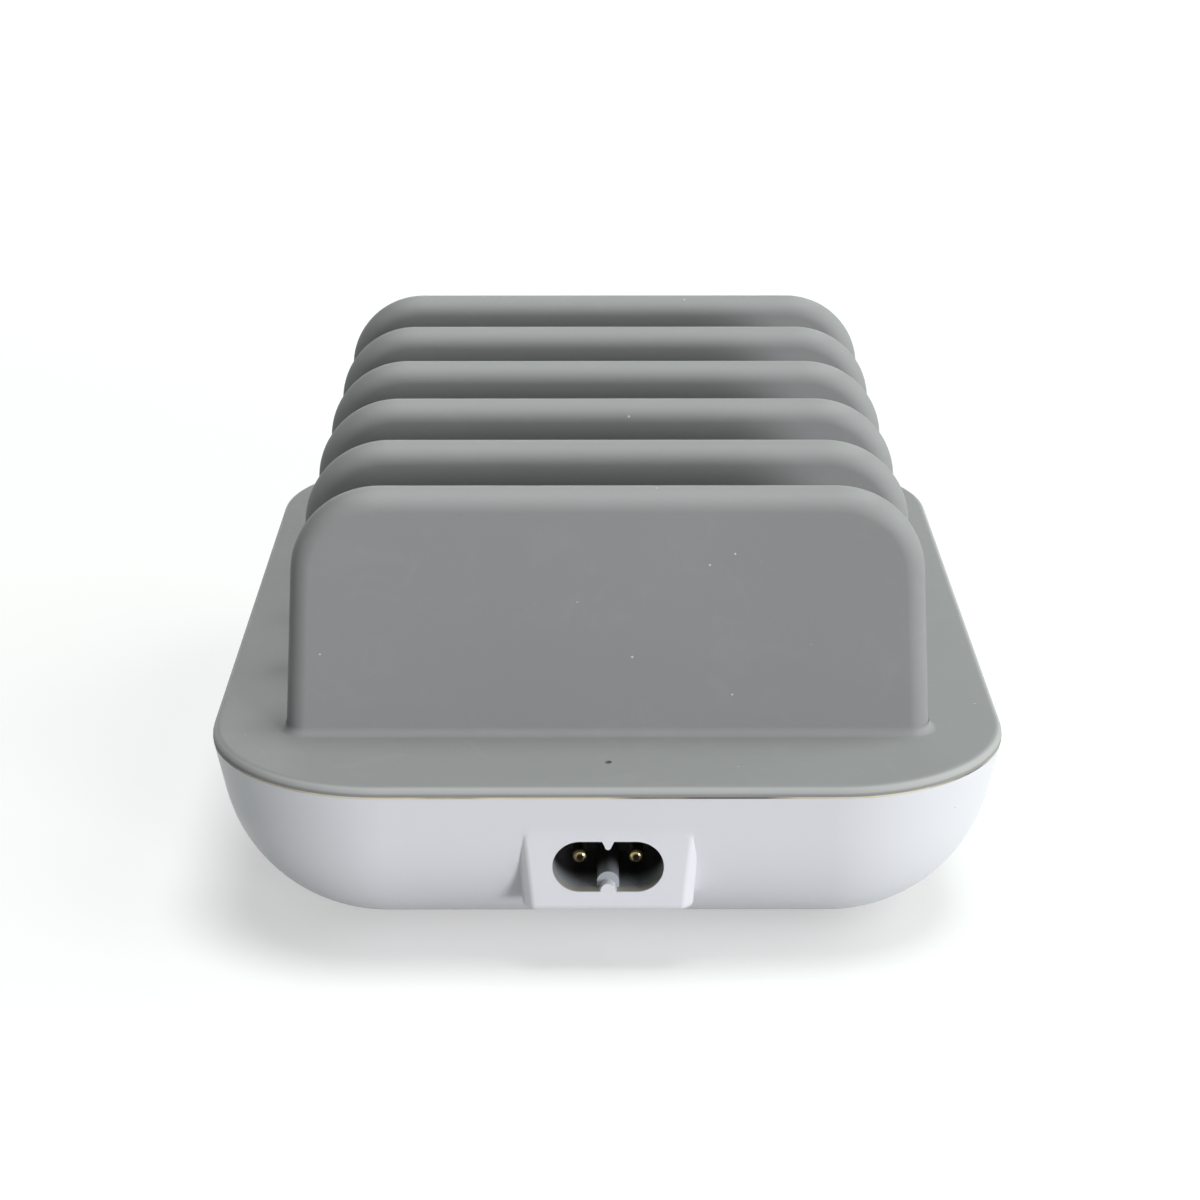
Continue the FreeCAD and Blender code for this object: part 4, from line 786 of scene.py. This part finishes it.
def add_rim_profile(tree, given):
    """Underside, side and round top edge of the rim, starting at the inner edge of the underside."""
    block = add_node(tree, "GeometryNodeCurvePrimitiveQuadrilateral", {"mode": "RECTANGLE"},
                     {"Width": (given, "Plate Rim"), "Height": (given, "Plate Thickness")})
    turned = add_node(tree, "GeometryNodeTransform", {"Scale": (-1, 1, 1)}, {"Geometry": (block, 0)})
    opened = add_node(tree, "GeometryNodeSetSplineCyclic", {"Cyclic": False}, {"Geometry": (turned, 0)})
    place = add_node(tree, "GeometryNodeInputPosition")
    axes = add_node(tree, "ShaderNodeSeparateXYZ", links={0: (place, 0)})
    is_outer = add_node(tree, "FunctionNodeCompare", {"operation": "GREATER_THAN"}, {0: (axes, "X")})
    is_top = add_node(tree, "FunctionNodeCompare", {"operation": "LESS_THAN"}, {0: (axes, "Y")})
    is_round = add_node(tree, "FunctionNodeBooleanMath", {"operation": "AND"},
                        {0: (is_outer, 0), 1: (is_top, 0)})
    radius = add_node(tree, "GeometryNodeSwitch", {"input_type": "FLOAT", 1: 0.0},
                      {0: (is_round, 0), 2: (given, "Plate Rim")})
    rounded = add_node(tree, "GeometryNodeFilletCurve", {"mode": "POLY", "Count": BLEND_STEPS},
                       {"Curve": (opened, 0), "Radius": (radius, 0)})
    block_size = add_node(tree, "ShaderNodeCombineXYZ",
                          links={"X": (given, "Plate Rim"), "Y": (given, "Plate Thickness")})
    half_block = add_node(tree, "ShaderNodeVectorMath", {"operation": "SCALE", "Scale": 0.5},
                          {0: (block_size, 0)})
    return add_node(tree, "GeometryNodeTransform",
                    links={"Geometry": (rounded, 0), "Translation": (half_block, 0)})


def add_gate_pit(tree, given):
    """Circle of the pit's edge, and the pit under it."""
    centre = add_node(tree, "ShaderNodeCombineXYZ", links={"Y": (given, "Gate Y")})
    circle = add_node(tree, "GeometryNodeCurvePrimitiveCircle", {"mode": "RADIUS", "Resolution": GATE_POINTS},
                      {"Radius": (given, "Gate Radius")})
    edge = add_node(tree, "GeometryNodeTransform",
                    links={"Geometry": (circle, 0), "Translation": (centre, 0)})
    floor_radius = add_node(tree, "ShaderNodeMath", {"operation": "MULTIPLY", 1: PIT_SHARE},
                            {0: (given, "Gate Radius")})
    wall = add_node(tree, "GeometryNodeMeshCone", {"fill_type": "NONE", "Vertices": GATE_POINTS},
                    {"Radius Top": (given, "Gate Radius"), "Radius Bottom": (floor_radius, 0),
                     "Depth": (given, "Gate Depth")})
    bed = add_node(tree, "GeometryNodeMeshCircle", {"fill_type": "NGON", "Vertices": GATE_POINTS},
                   {"Radius": (floor_radius, 0)})
    drop = add_node(tree, "ShaderNodeMath", {"operation": "MULTIPLY", 1: -1.0}, {0: (given, "Gate Depth")})
    low = add_node(tree, "ShaderNodeCombineXYZ", links={"Y": (given, "Gate Y"), "Z": (drop, 0)})
    cup = add_node(tree, "GeometryNodeJoinGeometry", links={0: [(wall, 0), (bed, 0)]})
    pit = add_node(tree, "GeometryNodeTransform", links={"Geometry": (cup, 0), "Translation": (low, 0)})
    return edge, pit


def add_plate(tree, given):
    """Plate with its top at height zero."""
    rectangle = add_node(tree, "GeometryNodeCurvePrimitiveQuadrilateral", {"mode": "RECTANGLE"},
                         {"Width": (given, "Plate Width"), "Height": (given, "Plate Length")})
    outline = add_node(tree, "GeometryNodeFilletCurve", {"mode": "POLY", "Count": CORNER_STEPS},
                       {"Curve": (rectangle, 0), "Radius": (given, "Plate Corner")})
    rim = add_node(tree, "GeometryNodeCurveToMesh",
                   links={"Curve": (outline, 0), "Profile Curve": (add_rim_profile(tree, given), 0)})
    gate_edge, pit = add_gate_pit(tree, given)
    pierced = add_node(tree, "GeometryNodeJoinGeometry", links={0: [(outline, 0), (gate_edge, 0)]})
    top = add_node(tree, "GeometryNodeFillCurve", {"mode": "NGONS"}, {"Curve": (pierced, 0)})
    under = add_node(tree, "GeometryNodeFillCurve", {"mode": "NGONS"}, {"Curve": (outline, 0)})
    depth = add_node(tree, "ShaderNodeMath", {"operation": "MULTIPLY", 1: -1.0},
                     {0: (given, "Plate Thickness")})
    down = add_node(tree, "ShaderNodeCombineXYZ", links={"Z": (depth, 0)})
    bottom = add_node(tree, "GeometryNodeTransform",
                      links={"Geometry": (under, 0), "Translation": (down, 0)})
    shell = add_node(tree, "GeometryNodeJoinGeometry",
                     links={0: [(rim, 0), (top, 0), (bottom, 0), (pit, 0)]})
    return add_node(tree, "GeometryNodeMergeByDistance", {"Distance": WELD}, {"Geometry": (shell, 0)})


print("gate pit:", 2 * GATE_RADIUS_MM, "mm across")

# %% [markdown]
# ## Cover put together
# A mesh line gives one point for each fin, the fin with its blend is placed on every point, and the plate
# joins them. The faces are smooth except at edges that turn by more than a set angle, and a Weighted Normal
# modifier lets the large flat faces keep their own direction, so the rounds run into them without a line.

# %% Cover
SHARP_EDGE = math.radians(40)

cover_tree, given = new_shape_tree("cover_with_fins", COVER_SIZES)
start = add_node(cover_tree, "ShaderNodeCombineXYZ", links={"Y": (given, "First Fin")})
step = add_node(cover_tree, "ShaderNodeCombineXYZ", links={"Y": (given, "Fin Pitch")})
row = add_node(cover_tree, "GeometryNodeMeshLine",
               links={"Count": (given, "Fin Count"), "Start Location": (start, 0), "Offset": (step, 0)})
fin_parts = [(add_fin(cover_tree, given), 0), (add_root_blend(cover_tree, given), 0)]
one_fin = add_node(cover_tree, "GeometryNodeJoinGeometry", links={0: fin_parts})
fins = add_node(cover_tree, "GeometryNodeInstanceOnPoints",
                links={"Points": (row, 0), "Instance": (one_fin, 0)})
cover_parts = [(add_plate(cover_tree, given), 0), (fins, 0)]
cover_shape = add_node(cover_tree, "GeometryNodeJoinGeometry", links={0: cover_parts})
height = add_node(cover_tree, "ShaderNodeCombineXYZ", links={"Z": (given, "Plate Top")})
raised = add_node(cover_tree, "GeometryNodeTransform",
                  links={"Geometry": (cover_shape, 0), "Translation": (height, 0)})
realized = add_node(cover_tree, "GeometryNodeRealizeInstances", links={0: (raised, 0)})
angle = add_node(cover_tree, "GeometryNodeInputMeshEdgeAngle")
is_sharp = add_node(cover_tree, "FunctionNodeCompare", {"operation": "GREATER_THAN", 1: SHARP_EDGE},
                    {0: (angle, 0)})
smooth = add_node(cover_tree, "GeometryNodeSetShadeSmooth", {"domain": "FACE"}, {0: (realized, 0)})
creased = add_node(cover_tree, "GeometryNodeSetShadeSmooth", {"domain": "EDGE", "Shade Smooth": False},
                   {0: (smooth, 0), "Selection": (is_sharp, 0)})
finished = add_node(cover_tree, "GeometryNodeSetMaterial",
                    links={0: (creased, 0), "Material": (given, "Material")})
add_node(cover_tree, "NodeGroupOutput", links={0: (finished, 0)})

cover = shape_piece("soft_cover", cover_tree, COVER_SIZES, SILICONE)
even = cover.modifiers.new("even_faces", "WEIGHTED_NORMAL")
even.keep_sharp = True
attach(cover, "root")
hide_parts("silicone_cover")
print("cover:", len(cover.data.vertices), "points,", len(cover.data.polygons), "faces")

# %% [markdown]
# ## Springs in the sockets
# Each charging socket is a folded steel box, and two leaves cut from its floor and two from its roof bend
# inwards to hold the plug. They repeat by a rule, so Geometry Nodes places them: a small grid is bent to a
# bow, two bows make a pair, the pair is turned over for the roof, and a line of points gives the five
# sockets. The sheet gets its thickness from a Solidify modifier.

# %% Socket springs
SOCKET_COUNT = sum(name.startswith("usb_shell_") for name in frame["nodes"])
LEAVES_IN_PAIR = 2
POINTS_ACROSS_LEAF = 3
SPRING_STEPS = 12
SPRING_SHEET_MM = 0.2
SPRING_SET_BACK_MM = 5.65
# The leaves of the roof bow the other way, and less
ROOF_BOW = -0.35

socket_low, socket_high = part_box("usb_shell_1")
next_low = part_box("usb_shell_2")[0]
socket_middle = (socket_low + socket_high) / 2
SPRING_MM = {
    "Socket Pitch": (next_low.x - socket_low.x) / MM,
    "First Socket": socket_middle.x / MM,
    "Spring Middle": socket_high.y / MM - SPRING_SET_BACK_MM,
    "Socket Middle Height": socket_middle.z / MM,
    "Spring Length": 8.0,
    "Spring Width": 1.9,
    "Spring Gap": 5.6,
    "Spring Bow": 0.8,
    "Inside Half Height": 2.6,
}
SPRING_SIZES = {"Socket Count": SOCKET_COUNT, "Leaf Count": LEAVES_IN_PAIR,
                **{size: value * MM for size, value in SPRING_MM.items()}}


def add_bow(tree, given):
    """Leaf lying on the floor of a socket, with its ends down and its middle up."""
    leaf = add_node(tree, "GeometryNodeMeshGrid",
                    {"Vertices X": POINTS_ACROSS_LEAF, "Vertices Y": SPRING_STEPS},
                    {"Size X": (given, "Spring Width"), "Size Y": (given, "Spring Length")})
    place = add_node(tree, "GeometryNodeInputPosition")
    axes = add_node(tree, "ShaderNodeSeparateXYZ", links={0: (place, 0)})
    along = add_node(tree, "ShaderNodeMath", {"operation": "DIVIDE"},
                     {0: (axes, "Y"), 1: (given, "Spring Length")})
    turn = add_node(tree, "ShaderNodeMath", {"operation": "MULTIPLY", 1: math.pi}, {0: (along, 0)})
    arch = add_node(tree, "ShaderNodeMath", {"operation": "COSINE"}, {0: (turn, 0)})
    lift = add_node(tree, "ShaderNodeMath", {"operation": "MULTIPLY"},
                    {0: (arch, 0), 1: (given, "Spring Bow")})
    rise = add_node(tree, "ShaderNodeCombineXYZ", links={"Z": (lift, 0)})
    return add_node(tree, "GeometryNodeSetPosition", links={"Geometry": (leaf, 0), "Offset": (rise, 0)})


def add_row(tree, shape, count, first, step):
    """Shape repeated on a line of points, whose count is a link."""
    row = add_node(tree, "GeometryNodeMeshLine",
                   links={"Count": count, "Start Location": (first, 0), "Offset": (step, 0)})
    return add_node(tree, "GeometryNodeInstanceOnPoints", links={"Points": (row, 0), "Instance": (shape, 0)})


spring_tree, given = new_shape_tree("socket_springs", SPRING_SIZES)
gap = add_node(spring_tree, "ShaderNodeCombineXYZ", links={"X": (given, "Spring Gap")})
half_gap = add_node(spring_tree, "ShaderNodeVectorMath", {"operation": "SCALE", "Scale": -0.5}, {0: (gap, 0)})
pair = add_row(spring_tree, add_bow(spring_tree, given), (given, "Leaf Count"), half_gap, gap)
up = add_node(spring_tree, "ShaderNodeCombineXYZ", links={"Z": (given, "Inside Half Height")})
down = add_node(spring_tree, "ShaderNodeVectorMath", {"operation": "SCALE", "Scale": -1.0}, {0: (up, 0)})
floor_pair = add_node(spring_tree, "GeometryNodeTransform",
                      links={"Geometry": (pair, 0), "Translation": (down, 0)})
turned_pair = add_node(spring_tree, "GeometryNodeTransform", {"Scale": (1, 1, ROOF_BOW)},
                       {"Geometry": (pair, 0)})
roof_pair = add_node(spring_tree, "GeometryNodeTransform",
                     links={"Geometry": (turned_pair, 0), "Translation": (up, 0)})
socket_set = add_node(spring_tree, "GeometryNodeJoinGeometry", links={0: [(floor_pair, 0), (roof_pair, 0)]})
first = add_node(spring_tree, "ShaderNodeCombineXYZ",
                 links={"X": (given, "First Socket"), "Y": (given, "Spring Middle"),
                        "Z": (given, "Socket Middle Height")})
pitch = add_node(spring_tree, "ShaderNodeCombineXYZ", links={"X": (given, "Socket Pitch")})
all_sets = add_row(spring_tree, socket_set, (given, "Socket Count"), first, pitch)
realized = add_node(spring_tree, "GeometryNodeRealizeInstances", links={0: (all_sets, 0)})
smooth = add_node(spring_tree, "GeometryNodeSetShadeSmooth", links={0: (realized, 0)})
finished = add_node(spring_tree, "GeometryNodeSetMaterial",
                    links={0: (smooth, 0), "Material": (given, "Material")})
add_node(spring_tree, "NodeGroupOutput", links={0: (finished, 0)})

springs = shape_piece("socket_springs", spring_tree, SPRING_SIZES, INSIDE["port_steel"])
sheet = springs.modifiers.new("sheet", "SOLIDIFY")
sheet.thickness = SPRING_SHEET_MM * MM
sheet.offset = 0.0
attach(springs, "root")
print("springs:", len(springs.data.polygons), "faces before their thickness")

# %% [markdown]
# ## End
# The view layer is updated once more at the end.

# %% Finish
bpy.context.view_layer.update()
